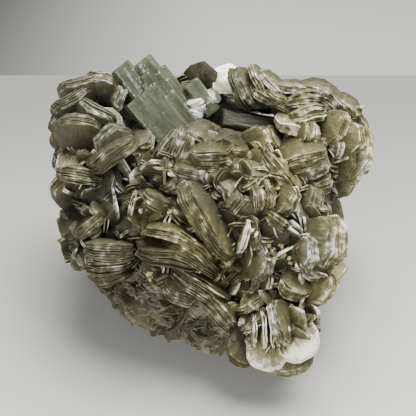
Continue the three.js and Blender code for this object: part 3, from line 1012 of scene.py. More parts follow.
sheetSettings = {
    "seed": 7,
    "variants": 8,
    "cornerShift": 0.24,  # how far a corner strays along the outline, as a share of a side
    "cornerDraw": 0.26,  # and how far it is drawn in
    "square": 0.82,  # below 1, plates fill the corners of their width and reach
    "bulge": 0.25,  # of a side towards a circle
    "ragged": 0.07,
    "midRing": 0.6,  # where the inner ring of points lies
    # corners and points on each side
    "fine": (7, 1),
    "plain": (6, 1),
    "blade": (5, 1),
    "round": (8, 1),
    "roundDraw": 0.1,  # round plates keep closer to a circle
    "roundBulge": 0.9,
}


def sheetOutline(corners, between, draw):
    # a plate with uneven corners and ragged sides, as spots round its middle
    shift, drawn, bulge = (sheetSettings[key] for key in ("cornerShift", "cornerDraw", "bulge"))
    if (corners, between) == sheetSettings["round"]:
        drawn, bulge = sheetSettings["roundDraw"], sheetSettings["roundBulge"]
    first = draw.uniform(-0.2, 0.2) + (0 if corners % 4 == 2 else 0.25 if corners % 2 else 0.5)
    turns = [(i + first + draw.uniform(-shift, shift) * 0.5) / corners * 2 * math.pi for i in range(corners)]
    radii = [1 - drawn * draw.random() for _ in range(corners)]
    spots = [Vector((r * math.cos(a), r * math.sin(a))) for a, r in zip(turns, radii)]
    outline = []
    for i, spot in enumerate(spots):
        after = spots[(i + 1) % corners]
        outline.append(spot)
        for step in range(between):
            share = (step + 1 + draw.uniform(-0.25, 0.25)) / (between + 1)
            point = spot.lerp(after, share)
            radius = spot.length * (1 - share) + after.length * share
            point *= 1 + bulge * (radius / point.length - 1) + draw.uniform(-1, 1) * sheetSettings["ragged"]
            outline.append(point)
    square = sheetSettings["square"]
    return [Vector([math.copysign(abs(value) ** square, value) for value in point]) for point in outline]


def storeValues(mesh, name, values, kind="FLOAT", domain="POINT"):
    # keeps a value for each point or face as an attribute
    key = "value" if kind == "FLOAT" else "vector"
    for item, value in zip(mesh.attributes.new(name, kind, domain).data, values):
        setattr(item, key, value)


def sheetMesh(name, corners, between, draw):
    # a closed slab one unit across; each corner's place on the sheet is kept as an attribute
    shape = bmesh.new()
    outline = sheetOutline(corners, between, draw)
    outer, inner, share = len(outline), len(outline) // 2, sheetSettings["midRing"]
    rings = {}
    for level in (1, -1):
        rim = [shape.verts.new((spot.x, 0.5 + 0.5 * spot.y, level)) for spot in outline]
        mid = [shape.verts.new((share * spot.x, 0.5 + 0.5 * share * spot.y, level)) for spot in outline[1::2]]
        rings[level] = (rim, mid, shape.verts.new((0, 0.5, level)))
    for level, (rim, mid, centre) in rings.items():
        for i in range(inner):
            a, b, c, d = (rim[(2 * i + 1 + step) % outer] for step in range(4))
            m, n = mid[i], mid[(i + 1) % inner]
            for face in ((a, b, m), (b, n, m), (b, c, n), (m, n, centre)):
                shape.faces.new(face if level > 0 else face[::-1]).smooth = True
    flatFaces = len(shape.faces)
    for i in range(outer):
        j = (i + 1) % outer
        side = shape.faces.new((rings[1][0][i], rings[-1][0][i], rings[-1][0][j], rings[1][0][j]))
        side.smooth = False
        for line in side.edges:
            line.smooth = False
    shape.verts.index_update()
    ringValues = {}
    for rim, mid, centre in rings.values():
        ringValues.update({vert.index: 1 for vert in rim})
        ringValues.update({vert.index: share for vert in mid})
        ringValues[centre.index] = 0
    places = [tuple(vert.co) for vert in shape.verts]
    mesh = meshOf(name, shape)
    storeValues(mesh, "leafPlace", places, "FLOAT_VECTOR")
    storeValues(mesh, "ring", [ringValues[i] for i in range(len(places))])
    storeValues(mesh, "edgeFace", [0] * flatFaces + [1] * outer, domain="FACE")
    return mesh


def sheetCollection(name, counts, seed):
    draw = random.Random(seed)
    collection = bpy.data.collections.new(name)
    for i in range(sheetSettings["variants"]):
        mesh = sheetMesh(f"{name}{i}", *counts, draw)
        collection.objects.link(bpy.data.objects.new(mesh.name, mesh))
    return collection


bookInputs = {
    "Points": ("Geometry", None),
    "Sheet Shapes": ("Collection", None),
    "Fullness": ("Float", 1.0),  # a sheet's share of its room in the book
    "Openness": ("Float", 0.5),  # how much thinner than that some sheets are
    "Skew": ("Float", 0.15),
    "Slide": ("Float", 0.0006),
    "Raggedness": ("Float", 0.16),
    "Splay": ("Float", 3.0),
    "Unevenness": ("Float", 0.8),
    "Lens": ("Float", 0.4),  # how much thinner a book is at its sides
    "Wave Height": ("Float", 0.0003),
    "Wave Scale": ("Float", 210.0),
    "Shapes": ("Int", 6),
    "Seed": ("Int", 1),
    "Finish": ("Material", None),
}

# what each sheet draws for itself, and how rarely it strays far from its neighbours
sheetDraws = {"drawTone": 3.0, "drawSlide": 5.0, "drawWidth": 3.0, "drawReach": 3.0, "drawSkew": 5.0}


def bookTree():
    # a book of sheets on every point
    tree = bpy.data.node_groups.new("booksOfSheets", "GeometryNodeTree")
    groupSockets(tree, bookInputs, {"Books": "Geometry"})
    make = NodeMaker(tree)
    given = make.given()
    seed = given["Seed"]
    sheets, thick, book = make.named("sheets"), make.named("thick"), make.named("book")
    width, reach, fan = make.named("width"), make.named("reach"), make.maths("RADIANS", make.named("fan"))

    # one point for each sheet, with its place in the book and its own draws
    points = make.store(given["Points"], "book", make.result("GeometryNodeInputIndex", {}))
    copies = make.add("GeometryNodeDuplicateElements", domain="POINT")
    make.wire(points, copies.inputs["Geometry"])
    make.wire(sheets, copies.inputs["Amount"])
    last = make.maths("MAXIMUM", sheets - 1.0, 1.0)
    single = make.maths("COMPARE", sheets, 1.0, 0.1) * 0.5
    uneven = make.drawn(-0.5, 0.5, seed + 10) / sheets * given["Unevenness"]
    place = Value(make, copies.outputs["Duplicate Index"]) / last - 0.5 + single + uneven
    points = make.store(copies.outputs["Geometry"], "place", place)
    place = make.named("place")
    # sheets hang together in packets: their draws drift along the book, and a few sheets stand apart
    depth = place * (thick + fan * reach) * 1000.0
    for number, (name, power) in enumerate(sheetDraws.items()):
        drift = make.drifting(depth + book * (17.3 + number), 1.7 if number else 0.4)
        apart = make.drawn(-1.0, 1.0, seed + (11 + number)) ** power
        points = make.store(points, name, drift * 0.6 + apart * 0.6)
    points = make.store(points, "drawThick", make.drawn(0.0, 1.0, seed + 18) ** 2.0)
    points = make.store(points, "drawFan", make.drawn(-1.0, 1.0, seed + 19))
    points = make.store(points, "drawWave", make.drawn(0.0, 1.0, seed + 20))

    shapes = make.result("GeometryNodeCollectionInfo", {
        "Collection": given["Sheet Shapes"], "Separate Children": True, "Reset Children": True})
    pick = make.drawn(0, given["Shapes"] - 1, seed + 17, "INT", ID=book)
    placed = make.result("GeometryNodeInstanceOnPoints", {
        "Points": points, "Instance": shapes, "Pick Instance": True, "Instance Index": pick})
    real = make.result("GeometryNodeRealizeInstances", {"Geometry": placed})

    # each corner of a sheet goes to its place in the book
    u, v, level = make.parts(make.named("leafPlace", "FLOAT_VECTOR"))
    slide, skew, wide, long, thin, splay, wave = (make.named("draw" + name) for name in (
        "Slide", "Skew", "Width", "Reach", "Thick", "Fan", "Wave"))
    terrace = 1.0 - (place + 0.5) * make.named("terrace")
    along = v * reach * (terrace - long * given["Raggedness"])
    aside = (u * 0.5) * (width * (terrace - wide * given["Raggedness"]))
    aside = aside + slide * given["Slide"] + along * (skew * given["Skew"])
    angle = make.named("fan") * place + splay * given["Splay"] + make.named("curl") * (v * 0.5)
    angle = make.maths("RADIANS", angle)
    pinch = (0.6 + v * 0.4) * (1.0 - u * u * given["Lens"])
    half = (thick * pinch + fan * along) / sheets * (given["Fullness"] * 0.5)
    half = half * (1.15 - thin * given["Openness"])
    lift = along * make.maths("SINE", angle) + thick * place * pinch
    lift = lift + make.named("arch") * width * (0.6 - u * u) + level * half
    root, edge, rim, face = (make.named(name, "FLOAT_VECTOR") for name in ("root", "edge", "rim", "face"))
    spot = make.plus(root, make.scaled(edge, aside), make.scaled(rim, along * make.maths("COSINE", angle)))
    waves = {"Vector": spot, "W": wave * 0.25, "Scale": given["Wave Scale"]}
    ripple = make.result("ShaderNodeTexNoise", waves, noise_dimensions="4D")
    lift = lift + (ripple - 0.5) * (given["Wave Height"] * 2.0)
    spot = make.plus(spot, make.scaled(face, lift))
    moved = make.result("GeometryNodeSetPosition", {"Geometry": real, "Position": spot})
    finished = make.result("GeometryNodeSetMaterial", {"Geometry": moved, "Material": given["Finish"]})
    make.wire(finished, make.add("NodeGroupOutput").inputs["Books"])
    return tree


# what a point carries for its book
pointVectors = {
    "root": lambda b: b.root * mm, "edge": lambda b: b.edge, "rim": lambda b: b.rim, "face": lambda b: b.face,
}
pointValues = {
    "sheets": lambda b: b.sheets, "width": lambda b: b.width * mm, "reach": lambda b: b.reach * mm,
    "thick": lambda b: b.thickness * mm, "fan": lambda b: b.fan, "curl": lambda b: b.curl,
    "arch": lambda b: b.arch, "tone": lambda b: b.tone, "terrace": lambda b: b.terrace(),
}
shownAttributes = ("tone", "drawTone")  # the material reads these


def pointMesh(name, books):
    mesh = bpy.data.meshes.new(name)
    mesh.from_pydata([book.root * mm for book in books], [], [])
    for key, read in pointVectors.items():
        storeValues(mesh, key, map(read, books), "FLOAT_VECTOR")
    for key, read in pointValues.items():
        storeValues(mesh, key, map(read, books))
    return mesh


def plainMesh(thing):
    # the object's evaluated mesh; the object itself is removed
    graph = bpy.context.evaluated_depsgraph_get()
    mesh = bpy.data.meshes.new_from_object(thing.evaluated_get(graph), depsgraph=graph)
    bpy.data.objects.remove(thing)
    return mesh


def setInputs(modifier, values):
    sockets = [item for item in modifier.node_group.interface.items_tree if item.item_type == "SOCKET"]
    identifiers = {item.name: item.identifier for item in sockets}
    for name, value in values.items():
        modifier[identifiers[name]] = value


def booksToMesh(name, tree, books, values):
    # runs the tree on one group of books and returns the plain mesh
    holder = linked(name + "Points", pointMesh(name + "Points", books))
    modifier = holder.modifiers.new("books", "NODES")
    modifier.node_group = tree
    setInputs(modifier, values)
    mesh = plainMesh(holder)
    mesh.materials.clear()
    mesh.materials.append(values["Finish"])
    working = (*pointVectors, *pointValues, *sheetDraws, "drawThick", "drawFan", "drawWave",
               "book", "place", "material_index")
    for key in working:
        attribute = mesh.attributes.get(key)
        if attribute and key not in shownAttributes:
            mesh.attributes.remove(attribute)
    return mesh


def joinedMesh(name, meshes):
    # several meshes as one object, with their attributes kept
    objects = [linked(name, mesh) for mesh in meshes]
    if len(objects) > 1:
        with bpy.context.temp_override(active_object=objects[0], selected_editable_objects=objects):
            bpy.ops.object.join()
    return objects[0]


def makeStreaks():
    # fine lines and soft blotches, shared by mica, rock and beryl
    group = bpy.data.node_groups.new("streaksAndBlotches", "ShaderNodeTree")
    inputs = {"Vector": ("Vector", None), "Line Scale": ("Float", 900.0), "Blotch Scale": ("Float", 160.0),
              "Detail": ("Float", 3.0)}
    groupSockets(group, inputs, {"Lines": "Float", "Blotches": "Float"})
    make = NodeMaker(group)
    given = make.given()
    result = make.add("NodeGroupOutput").inputs
    for name, scale in (("Lines", "Line Scale"), ("Blotches", "Blotch Scale")):
        texture = {"Vector": given["Vector"], "Scale": given[scale], "Detail": given["Detail"]}
        make.wire(make.result("ShaderNodeTexNoise", texture), result[name])
    return group


micaFinish = {
    # the brightest stop is near white, the colour that the painted highlights reach
    "stops": [(0.0, (0.030, 0.028, 0.018)), (0.3, (0.056, 0.053, 0.031)), (0.6, (0.108, 0.101, 0.054)),
              (0.85, (0.27, 0.26, 0.165)), (1.05, (0.96, 0.94, 0.82))],
    "greyer": (0.80, 0.85, 0.99),  # patches of the mass are greyer, others browner, and the left is greyer
    "greyLeft": 5.0,
    "browner": (1.05, 1.045, 0.86),
    "patchScale": 38.0,
    "metallic": 0.12,
    "shine": 0.5,
    "shineColour": (1.0, 0.93, 0.72),
    "subsurface": 0.2,
    "subsurfaceScale": 0.0014,
    "subsurfaceRadius": (1.0, 0.97, 0.6),
    "roughness": (0.15, 0.62),
    "sheetTone": 0.095,
    "highlightSheets": 0.3,  # painted highlight: a few sheets are painted lighter along their rims and edges
    "highlightShare": (0.3, 0.7),
    "blotch": 0.34,
    "lines": 0.2,
    "rootShade": 0.55,
    # painted highlight: a light line along each sheet's rim
    "rimLight": 0.28,
    "edgeLight": -0.1,
    "edgeLines": 0.2,
    "bump": 0.8,
    "bumpDepth": 0.0004,
    "blotchScale": 420.0,
    "sheetBlotches": 0.45,
    "drift": 130.0,  # how fast the pattern changes from sheet to sheet
    "highlightBreakup": (-1.0, 2.2),  # how unevenly the painted highlights on rims and borders are broken up
    "patchMix": (-1.0, 2.0),  # of the greyer and the browner tint
    "lineStretch": (16, 1.6, 1.2),  # fine lines run from a sheet's root to its rim
    "edgeStretch": (1.6, 1.6, 1.6),  # and along its edge
    # where the painted rim highlight lies, as a share of a sheet's radius
    "rimLine": (0.92, 1.0),
}


def makeMicaMaterial(name, finish, streaks):
    material, make, shader = newMaterial(name)
    blotches = make.streaked(streaks, 1.0, finish["blotchScale"], 5.0)[1]
    place = make.attribute("leafPlace", "Vector")
    drift = make.scaled(make.objectPlace(), finish["drift"])

    def onSheet(stretch):
        spot = make.plus(make.vectors("MULTIPLY", place, stretch), drift)
        return make.streaked(streaks, 1.0, finish["sheetBlotches"], 3.0, spot)

    def centred(value, amount):
        return (value - 0.5) * (amount * 2)

    faceLines, faceBlotches = onSheet(finish["lineStretch"])
    edgeLines = onSheet(finish["edgeStretch"])[0]
    isEdge = make.attribute("edgeFace")
    alongSheet = make.parts(place)[1]
    # painted highlight: the outer band of each sheet is lightened along its rim
    rim = make.ranged(make.attribute("ring"), 0.0, 1.0, finish["rimLine"], "SMOOTHSTEP")
    # painted highlight: the sheets with the highest draws get lighter borders, broken up unevenly
    bright = make.ranged(make.attribute("drawTone"), 0.0, 1.0, finish["highlightShare"], "SMOOTHSTEP")
    broken = make.ranged(blotches, *finish["highlightBreakup"])
    border = make.maths("MAXIMUM", rim, isEdge) * broken
    tone = 0.5
    for part in (
        make.attribute("tone") * 0.5,
        make.attribute("drawTone") * finish["sheetTone"],
        centred(blotches, finish["blotch"]),
        centred(faceLines, finish["lines"]) * (1.0 - isEdge),
        centred(edgeLines, finish["edgeLines"]) * isEdge,
        (alongSheet - 0.75) * finish["rootShade"],
        rim * broken * finish["rimLight"],
        isEdge * finish["edgeLight"],
        bright * border * finish["highlightSheets"],
    ):
        tone = tone + part
    patches = make.result("ShaderNodeTexNoise", {"Vector": make.objectPlace(), "Scale": finish["patchScale"]})
    sideways = make.parts(make.objectPlace())[0]
    share = make.ranged(patches, *finish["patchMix"]) + sideways * finish["greyLeft"]
    tint = make.mixed(share, finish["greyer"], finish["browner"])
    make.fill(shader, {
        "Base Color": make.mixed(1.0, make.ramp(tone, finish["stops"]), tint, "MULTIPLY"),
        "Roughness": make.ranged(faceBlotches, *finish["roughness"]),
        "Metallic": finish["metallic"],
        "Specular IOR Level": finish["shine"],
        "Specular Tint": (*finish["shineColour"], 1),
        "Subsurface Weight": finish["subsurface"],
        "Subsurface Radius": finish["subsurfaceRadius"],
        "Subsurface Scale": finish["subsurfaceScale"],
    })
    height = faceLines * 0.4 + edgeLines * (isEdge * 0.5) + blotches
    make.bump(shader, height, finish["bump"], finish["bumpDepth"])
    return material


rockFinish = {
    "stops": [(0.3, (0.025, 0.023, 0.015)), (0.45, (0.10, 0.093, 0.063)), (0.6, (0.19, 0.178, 0.125)),
              (0.78, (0.42, 0.40, 0.31))],
    "roughness": (0.35, 0.7),
    "lineScale": 1400.0,
    "blotchScale": 150.0,
    "bump": 0.6,
    "bumpDepth": 0.0008,
}


def makeRockMaterial(name, finish, streaks):
    material, make, shader = newMaterial(name)
    lines, blotches = make.streaked(streaks, finish["lineScale"], finish["blotchScale"], 6.0)
    tone = blotches * 0.75 + lines * 0.25
    roughness = make.ranged(lines, *finish["roughness"])
    make.fill(shader, {"Base Color": make.ramp(tone, finish["stops"]), "Roughness": roughness})
    make.bump(shader, tone, finish["bump"], finish["bumpDepth"])
    return material


berylFinish = {
    "clear": (0.08, 0.10, 0.052),
    "cloud": (0.34, 0.367, 0.24),
    "rust": (0.2, 0.16, 0.06),
    "rustAbove": 0.64,
    "rustWeight": 0.35,
    "tint": (1, 1, 1),
    "cloudRange": (-0.5, 1.2),
    "transmission": 0.5,
    "ior": 1.577,
    "roughness": (0.08, 0.36),
    "lineScale": 900.0,
    "lineStretch": (1, 1, 0.06),  # lines and veils run along the crystals
    "veilStretch": (1, 1, 0.35),
    "bump": 0.35,
    "bumpDepth": 0.0004,
}


def makeBerylMaterial(name, finish, streaks, crystal):
    material, make, shader = newMaterial(name)
    turned = make.result("ShaderNodeMapping", {
        "Vector": make.objectPlace(), "Rotation": crystal.to_3x3().inverted().to_euler()})
    lineLines, lineBlotches = make.streaked(
        streaks, finish["lineScale"], 260.0, 3.0, make.vectors("MULTIPLY", turned, finish["lineStretch"]))
    veilLines, veilBlotches = make.streaked(
        streaks, 420.0, 380.0, 6.0, make.vectors("MULTIPLY", turned, finish["veilStretch"]))
    cloud = make.maths("MINIMUM", make.ranged(veilBlotches, *finish["cloudRange"]), 1.0)
    clear, cloudy = (times(Vector(finish[key]), Vector(finish["tint"])) for key in ("clear", "cloud"))
    colour = make.mixed(make.maths("MAXIMUM", cloud, 0.0), clear, cloudy)
    rust = make.maths("GREATER_THAN", veilLines, finish["rustAbove"]) * finish["rustWeight"]
    make.fill(shader, {
        "Base Color": make.mixed(rust, colour, finish["rust"]),
        "Roughness": make.ranged(lineBlotches, *finish["roughness"]),
        "Transmission Weight": finish["transmission"],
        "IOR": finish["ior"],
    })
    make.bump(shader, lineLines, finish["bump"], finish["bumpDepth"])
    return material


streaks = makeStreaks()
micaMaterial = makeMicaMaterial("muscoviteSheets", micaFinish, streaks)
rockMaterial = makeRockMaterial("hostRock", rockFinish, streaks)
print("materials: muscovite and host rock")

tree = bookTree()
sheetShapes = {kind: sheetCollection(kind + "Sheet", sheetSettings[kind], sheetSettings["seed"] + i)
               for i, kind in enumerate(("fine", "plain", "blade", "round"))}

bookKinds = makeFaceBooks(bookSettings)
onTheFace = bookKinds["hero"] + bookKinds["round"]
bookKinds["fill"] = makeFillBooks(onTheFace, fillSettings)
bookKinds["chip"] = makeChips(chipSettings)
counts = [len(books) for books in (onTheFace, bookKinds["fill"], bookKinds["chip"])]
print("books: {} on the face, {} over the mass, {} chips".format(*counts))


# where one region of the mass ends and the next begins
regionEdges = {"left": -22, "right": 24, "ridge": 58, "behind": -2, "back": 6, "tip": -24, "tipTop": 34}


def regionOf(book):
    place, edges = book.middle(), regionEdges
    if place.y - 0.5 * place.z < edges["tip"] and place.x > 0 and place.z < edges["tipTop"]:
        return "mica_tip"
    behind = (place - heart).dot(outFace) < edges["behind"]
    if behind and place.y > edges["back"] and place.z < edges["ridge"]:
        return "mica_back"
    if place.z > edges["ridge"]:
        return "mica_ridge"
    if place.x < edges["left"]:
        return "mica_left"
    if place.x > edges["right"]:
        return "mica_right"
    return "mica_face"


def addPiece(thing, name, slot, *nodes):
    thing.name = name
    thing.data.name = name
    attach(thing, "root")
    if nodes:
        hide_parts(*nodes)


regions = {}
for kind, books in bookKinds.items():
    for book in books:
        # the left of the specimen is greyer, the right warmer and brighter: partly its own colour, partly
        # painted light from the right
        book.tone += bookSettings["sideToneAndLight"] * max(-1, min(1, book.middle().x / bookSettings["sideReach"]))
        regions.setdefault(regionOf(book), {}).setdefault(kind, []).append(book)

kindSettings = {
    "hero": {"shape": "fine", "Fullness": 1.02, "Openness": 0.3, "Slide": 0.0009, "Raggedness": 0.07,
             "Skew": 0.06, "Splay": 0.6, "Unevenness": 0.6, "Lens": 0.4, "Wave Height": 0.0009},
    "round": {"shape": "round", "Fullness": 1.02, "Openness": 0.2, "Slide": 0.0004, "Raggedness": 0.05,
              "Skew": 0.04, "Splay": 0.6, "Unevenness": 0.6, "Lens": 0.4, "Wave Height": 0.0012},
    "fill": {"shape": "plain", "Fullness": 1.0, "Openness": 0.4, "Slide": 0.0011, "Raggedness": 0.10,
             "Skew": 0.1, "Splay": 1.4, "Unevenness": 0.8, "Lens": 0.4, "Wave Height": 0.0009},
    "chip": {"shape": "blade", "Fullness": 0.8, "Openness": 0.3, "Slide": 0.0004, "Raggedness": 0.2,
             "Skew": 0.1, "Splay": 3.0, "Unevenness": 1.0, "Lens": 0.1, "Wave Height": 0.0003},
    "flake": {"shape": "plain", "Fullness": 0.85, "Slide": 0.001, "Raggedness": 0.3, "Splay": 4.0,
              "Unevenness": 1.3, "Wave Height": 0.0012},
}


def kindValues(kind, seed, finish):
    values = {name: value for name, value in kindSettings[kind].items() if name != "shape"}
    return {**values, "Sheet Shapes": sheetShapes[kindSettings[kind]["shape"]],
            "Shapes": sheetSettings["variants"], "Seed": seed, "Finish": finish}


for index, (region, kinds) in enumerate(sorted(regions.items())):
    meshes = [booksToMesh(region + kind, tree, books, kindValues(kind, 100 + 7 * index, micaMaterial))
              for kind, books in kinds.items()]
    piece = joinedMesh(region, meshes)
    addPiece(piece, region, "muscovite", "muscovite_cluster")
    triangles = sum(len(polygon.vertices) - 2 for polygon in piece.data.polygons)
    print(f"{region}: {triangles} triangles")

# the inside of the mass, painted near black as the shade deep between the books, and the host rock
coreSettings = {"grow": -1.8, "detail": 4, "voxel": 1.7, "relief": 0.8, "scale": 0.16, "rough": 0.8,
                "roughScale": 0.35, "floor": 1.0}

rockSettings = {"grow": -1.4, "detail": 5, "voxel": 0.72, "relief": 1.8, "scale": 0.15, "rough": 1.5,
                "roughScale": 0.36, "floor": 0.05}


def lobeMesh(name, lobes, settings):
    shape = bmesh.new()
    grow = Vector([settings["grow"]] * 3)
    for centre, half in lobes:
        for vert in bmesh.ops.create_icosphere(shape, subdivisions=settings["detail"], radius=1)["verts"]:
            direction = vert.co.copy()
            point = centre + times(direction, half + grow)
            point += direction * settings["relief"] * noise.noise(point * settings["scale"]) * 2
            vert.co = point * mm
    return meshOf(name, shape)


def remeshed(name, mesh, voxel):
    thing = linked(name, mesh)
    modifier = thing.modifiers.new("remesh", "REMESH")
    modifier.mode = "VOXEL"
    modifier.voxel_size = voxel * mm
    return plainMesh(thing)


def roughened(mesh, relief, scale, floor):
    # broken layers, lying flat, that stand out of the surface and sink into it
    normals = [vert.normal.copy() for vert in mesh.vertices]
    for vert, normal in zip(mesh.vertices, normals):
        point = vert.co / mm
        bent = point + Vector((noise.noise(point * 0.11), noise.noise(point * 0.13), 0)) * 4
        layered = Vector((bent.x * 0.7, bent.y * 0.7, bent.z * 1.9))
        ridge = 1 - abs(noise.noise(layered * scale)) * 2
        fine = noise.noise(layered * scale * 2.9)
        vert.co += normal * (relief * (ridge * 0.7 + fine * 0.6 - 0.5)) * mm
        vert.co.z = max(vert.co.z, floor * mm)
    mesh.update()


def finished(name, mesh, material):
    mesh.materials.clear()
    mesh.materials.append(material)
    return linked(name, mesh)


def lumpyPiece(name, lobes, settings, material, slot, node):
    mesh = remeshed(name, lobeMesh(name + "Lobes", lobes, settings), settings["voxel"])
    roughened(mesh, settings["rough"], settings["roughScale"], settings["floor"])
    addPiece(finished(name, mesh, material), name, slot, node)
    print(f"{name}: {len(mesh.polygons)} faces")


coreLobes = []
for name, (centre, half) in zip(massForm["mica"], micaLobes):
    inward = max(0, fillSettings["drawnIn"].get(name, 0))
    coreLobes.append((centre, half - Vector((inward, inward, inward))))
# painted shade: the core is near black, standing for the shade in the gaps between the books
shadedCoreFinish = {**rockFinish, "roughness": (0.6, 0.9),
              "stops": [(0.3, (0.018, 0.017, 0.011)), (0.7, (0.06, 0.056, 0.035))]}
shadedCoreMaterial = makeRockMaterial("shadedMica", shadedCoreFinish, streaks)
lumpyPiece("mica_core", coreLobes, coreSettings, shadedCoreMaterial, "muscovite", "muscovite_cluster")
lumpyPiece("host_rock_body", rockLobes, rockSettings, rockMaterial, "host_rock", "host_rock")

# flakes of schist on the rock
flakeSettings = {
    "seed": 977,
    "step": 1.2,
    "gap": 2.9,
    "width": (4, 11),
    "reach": (6, 8.5),
    "thickness": (0.6, 2.4),
    "pitch": 0.5,
    "fan": (0, 12),
    "curl": (-14, 14),
    "arch": (0, 0.08),
    "tone": (-0.5, 0.15),
    "root": 4.4,
    "drawnIn": 2.6,
    "lean": (15, 78),
    "stray": (0.9, 0.9, 0.4),  # from straight down
    "lowest": 3.5,
    "above": 0.6,  # where a flake's lowest corner may be
}


def makeFlakes(settings):
    draw = random.Random(settings["seed"])
    skin = [place for place in skinPoints(rockLobes, settings["step"]) if place[0].z > settings["lowest"]]
    books = []
    for place, normal in thinned(skin, lambda normal: settings["gap"], draw):
        heading = alongSkin(Vector((0, 0, -1)) + anyDirection(draw, *settings["stray"]), normal)
        rim, face = leaning(normal, heading, math.radians(span(settings["lean"], draw.random())))
        root = place - rim * settings["root"] - normal * settings["drawnIn"]
        thickness, width, reach = drawnSizes(settings, draw)
        sheets = max(2, round(thickness / settings["pitch"]))
        book = Book(root, rim, face, width, reach, thickness, sheets, draw.uniform(*settings["fan"]),
                    draw.uniform(*settings["curl"]), draw.uniform(*settings["arch"]),
                    draw.uniform(*settings["tone"]))
        if min(corner.z for corner in book.corners()) > settings["above"] and keptInBox(book):
            books.append(book)
    return books


schistFinish = {**micaFinish, "roughness": (0.3, 0.55), "blotch": 0.4, "rootShade": 0.1,
                "greyer": (0.88, 0.92, 0.9), "browner": (1.06, 1.02, 0.84),
                "stops": [(0.0, (0.018, 0.017, 0.011)), (0.35, (0.06, 0.056, 0.037)),
                          (0.6, (0.14, 0.131, 0.088)), (1.0, (0.46, 0.44, 0.33))]}
flakeBooks = makeFlakes(flakeSettings)
flakeValues = kindValues("flake", 400, makeMicaMaterial("schist", schistFinish, streaks))
flakePiece = joinedMesh("host_rock_flakes", [booksToMesh("flakes", tree, flakeBooks, flakeValues)])
addPiece(flakePiece, "host_rock_flakes", "host_rock", "host_rock")
print(f"rock: {len(flakeBooks)} flakes")

# stained crumbs of feldspar between the books
crumbSettings = {
    "seed": 61,
    # across and up the face, how far they spread, and how many
    "spots": [(23, -15, 4.2, 15), (-11.5, -1.5, 2.2, 5), (-20.5, 0.5, 2.4, 5), (-19, -23.5, 1.2, 3),
              (-6, 7, 1.0, 2)],
    "size": (0.3, 1.15),
    "flatten": (0.6, 1.1),
    "roughen": 0.55,
    "start": 90,  # in front of the face, beyond every book
}

crumbFinish = {
    "stops": [(0.34, (0.10, 0.05, 0.016)), (0.46, (0.40, 0.31, 0.13)), (0.54, (0.74, 0.68, 0.42)),
              (0.68, (0.96, 0.95, 0.78))],
    "roughness": (0.35, 0.7),
    "lineScale": 1400.0,
    "blotchScale": 900.0,
    "bump": 0.8,
    "bumpDepth": 0.0008,
}


def makeCrumbs(settings, carriers):
    # each crumb sits where the first book under it is met
    draw = random.Random(settings["seed"])
    trees = [BVHTree.FromObject(carrier, bpy.context.evaluated_depsgraph_get()) for carrier in carriers]
    shape = bmesh.new()
    for x, y, spread, count in settings["spots"]:
        for _ in range(count):
            side, up = (value + draw.gauss(0, spread / 2) for value in (x, y))
            start = onFace(side, up, settings["start"]) * mm
            hits = [hit[0] for hit in (tree.ray_cast(start, -outFace) for tree in trees) if hit[0]]
            if not hits:
                continue
            place = min(hits, key=lambda hit: (hit - start).length)
            size = span(settings["size"], draw.random())
            crumb = bmesh.ops.create_icosphere(shape, subdivisions=2, radius=1)["verts"]
            shift, flatten = draw.uniform(0, 50), [draw.uniform(*settings["flatten"]) for _ in range(3)]
            for vert in crumb:
                grow = size * (1 + settings["roughen"] * noise.noise(vert.co * 1.6 + Vector((shift, 0, 0))))
                vert.co = place + Vector([vert.co[i] * flatten[i] * grow for i in range(3)]) * mm
    return meshOf("crumbs", shape)


carriers = [bpy.data.objects[name] for name in ("mica_face", "mica_left", "mica_right")]
crumbs = makeCrumbs(crumbSettings, carriers)
crumbMaterial = makeRockMaterial("stainedFeldspar", crumbFinish, streaks)
addPiece(finished("feldspar_crumbs", crumbs, crumbMaterial), "feldspar_crumbs", "host_rock")
print(f"crumbs: {len(crumbs.polygons)} faces")


def prismMesh(name, prism, bevel):
    side, out, end, halfWidth, halfDepth, share, length, spin = prism
    shape = bmesh.new()
    front = halfWidth * share
    outline = [(halfWidth, 0), (front, halfDepth), (-front, halfDepth),
               (-halfWidth, 0), (-front, -halfDepth), (front, -halfDepth)]
    turn = Matrix.Rotation(math.radians(spin), 3, "Z")
    levels = []
    for inset, z in ((bevel, end - length), (0, end - length + bevel), (0, end - bevel), (bevel, end)):
        ring = []
        for x, y in outline:
            point = turn @ Vector((x * (1 - inset / halfWidth), y * (1 - inset / halfDepth), 0))
            ring.append(shape.verts.new((side + point.x, -out + point.y, z)))
        levels.append(ring)
    for low, high in zip(levels, levels[1:]):
        for i in range(6):
            j = (i + 1) % 6
            shape.faces.new((low[i], low[j], high[j], high[i]))
    shape.faces.new(levels[0][::-1])
    shape.faces.new(levels[-1])
    return meshOf(name, shape)


crystalSettings = {
    "voxel": 0.34,
    "lineHeight": 0.10,  # fine ridges along the crystals
    "lineScale": 1.5,
    "lineStretch": 0.12,
    "pitHeight": 0.22,  # and growth pits, most of them on the ends
    "pitScale": 0.9,
    "finePits": 2.3,
    "sidePits": 0.45,
}


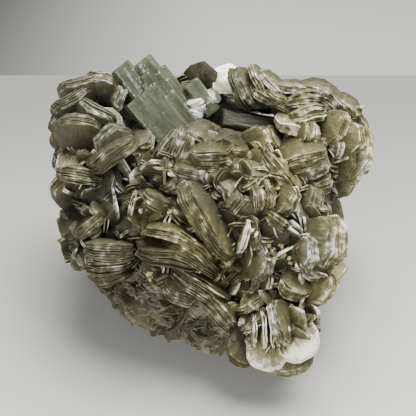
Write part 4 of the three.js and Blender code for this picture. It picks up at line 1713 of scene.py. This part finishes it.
def etched(mesh, frameMatrix, settings):
    # growth lines along the axis and shallow pits, in the crystals' own directions
    back = frameMatrix.inverted()
    turned = back.to_3x3()
    normals = [vert.normal.copy() for vert in mesh.vertices]
    for vert, normal in zip(mesh.vertices, normals):
        local = back @ (vert.co / mm)
        facing = turned @ normal
        scale = settings["lineScale"]
        line = noise.noise(Vector((local.x * scale, local.y * scale, local.z * settings["lineStretch"])))
        spot = local * settings["pitScale"]
        pit = noise.noise(spot) + 0.5 * noise.noise(spot * settings["finePits"])
        onEnd = abs(facing.z) ** 2
        lift = line * settings["lineHeight"] * (1 - onEnd)
        lift += min(0, pit) * settings["pitHeight"] * (settings["sidePits"] + onEnd)
        vert.co += normal * lift * mm
    mesh.update()


def crystalPiece(name, prisms, frameMatrix, material):
    # prisms that grew together become one closed solid
    meshes = []
    for i, prism in enumerate(prisms):
        bevel = crystalForm["bevel" if prism[3] > crystalForm["ribsBelow"] else "ribBevel"]
        mesh = prismMesh(f"{name}{i}", prism, bevel)
        mesh.transform(frameMatrix)
        mesh.transform(Matrix.Scale(mm, 4))
        meshes.append(mesh)
    joined = joinedMesh(name + "Prisms", meshes)
    whole = joined.data.copy()
    bpy.data.objects.remove(joined)
    result = remeshed(name, whole, crystalSettings["voxel"])
    etched(result, frameMatrix, crystalSettings)
    for polygon in result.polygons:
        polygon.use_smooth = True
    return finished(name, result, material)


# painted shade: the crystal in the hollow is a copy of the aquamarine darkened by its tint, standing for the
# shade of the overhanging books
shadedBerylFinish = {**berylFinish, "transmission": 0.35, "roughness": (0.3, 0.5), "tint": (0.17, 0.17, 0.10)}
beryl = makeBerylMaterial("aquamarine", berylFinish, streaks, clusterFrame)
shadedBeryl = makeBerylMaterial("aquamarineDark", shadedBerylFinish, streaks, hollowFrame)
clusterPrisms = crystalForm["cluster"] + crystalForm["ribs"]
cluster = crystalPiece("aquamarine_crystals", clusterPrisms, clusterFrame, beryl)
addPiece(cluster, "aquamarine_crystals", "aquamarine", "aquamarine_cluster")
rear = crystalPiece("aquamarine_rear_crystal", [crystalForm["rear"]], clusterFrame, beryl)
addPiece(rear, "aquamarine_rear_crystal", "aquamarine", "aquamarine_rear")
hollow = crystalPiece("aquamarine_in_hollow", [crystalForm["hollow"]], hollowFrame, shadedBeryl)
addPiece(hollow, "aquamarine_in_hollow", "aquamarine_dark", "aquamarine_hollow")
print("aquamarines are in place")
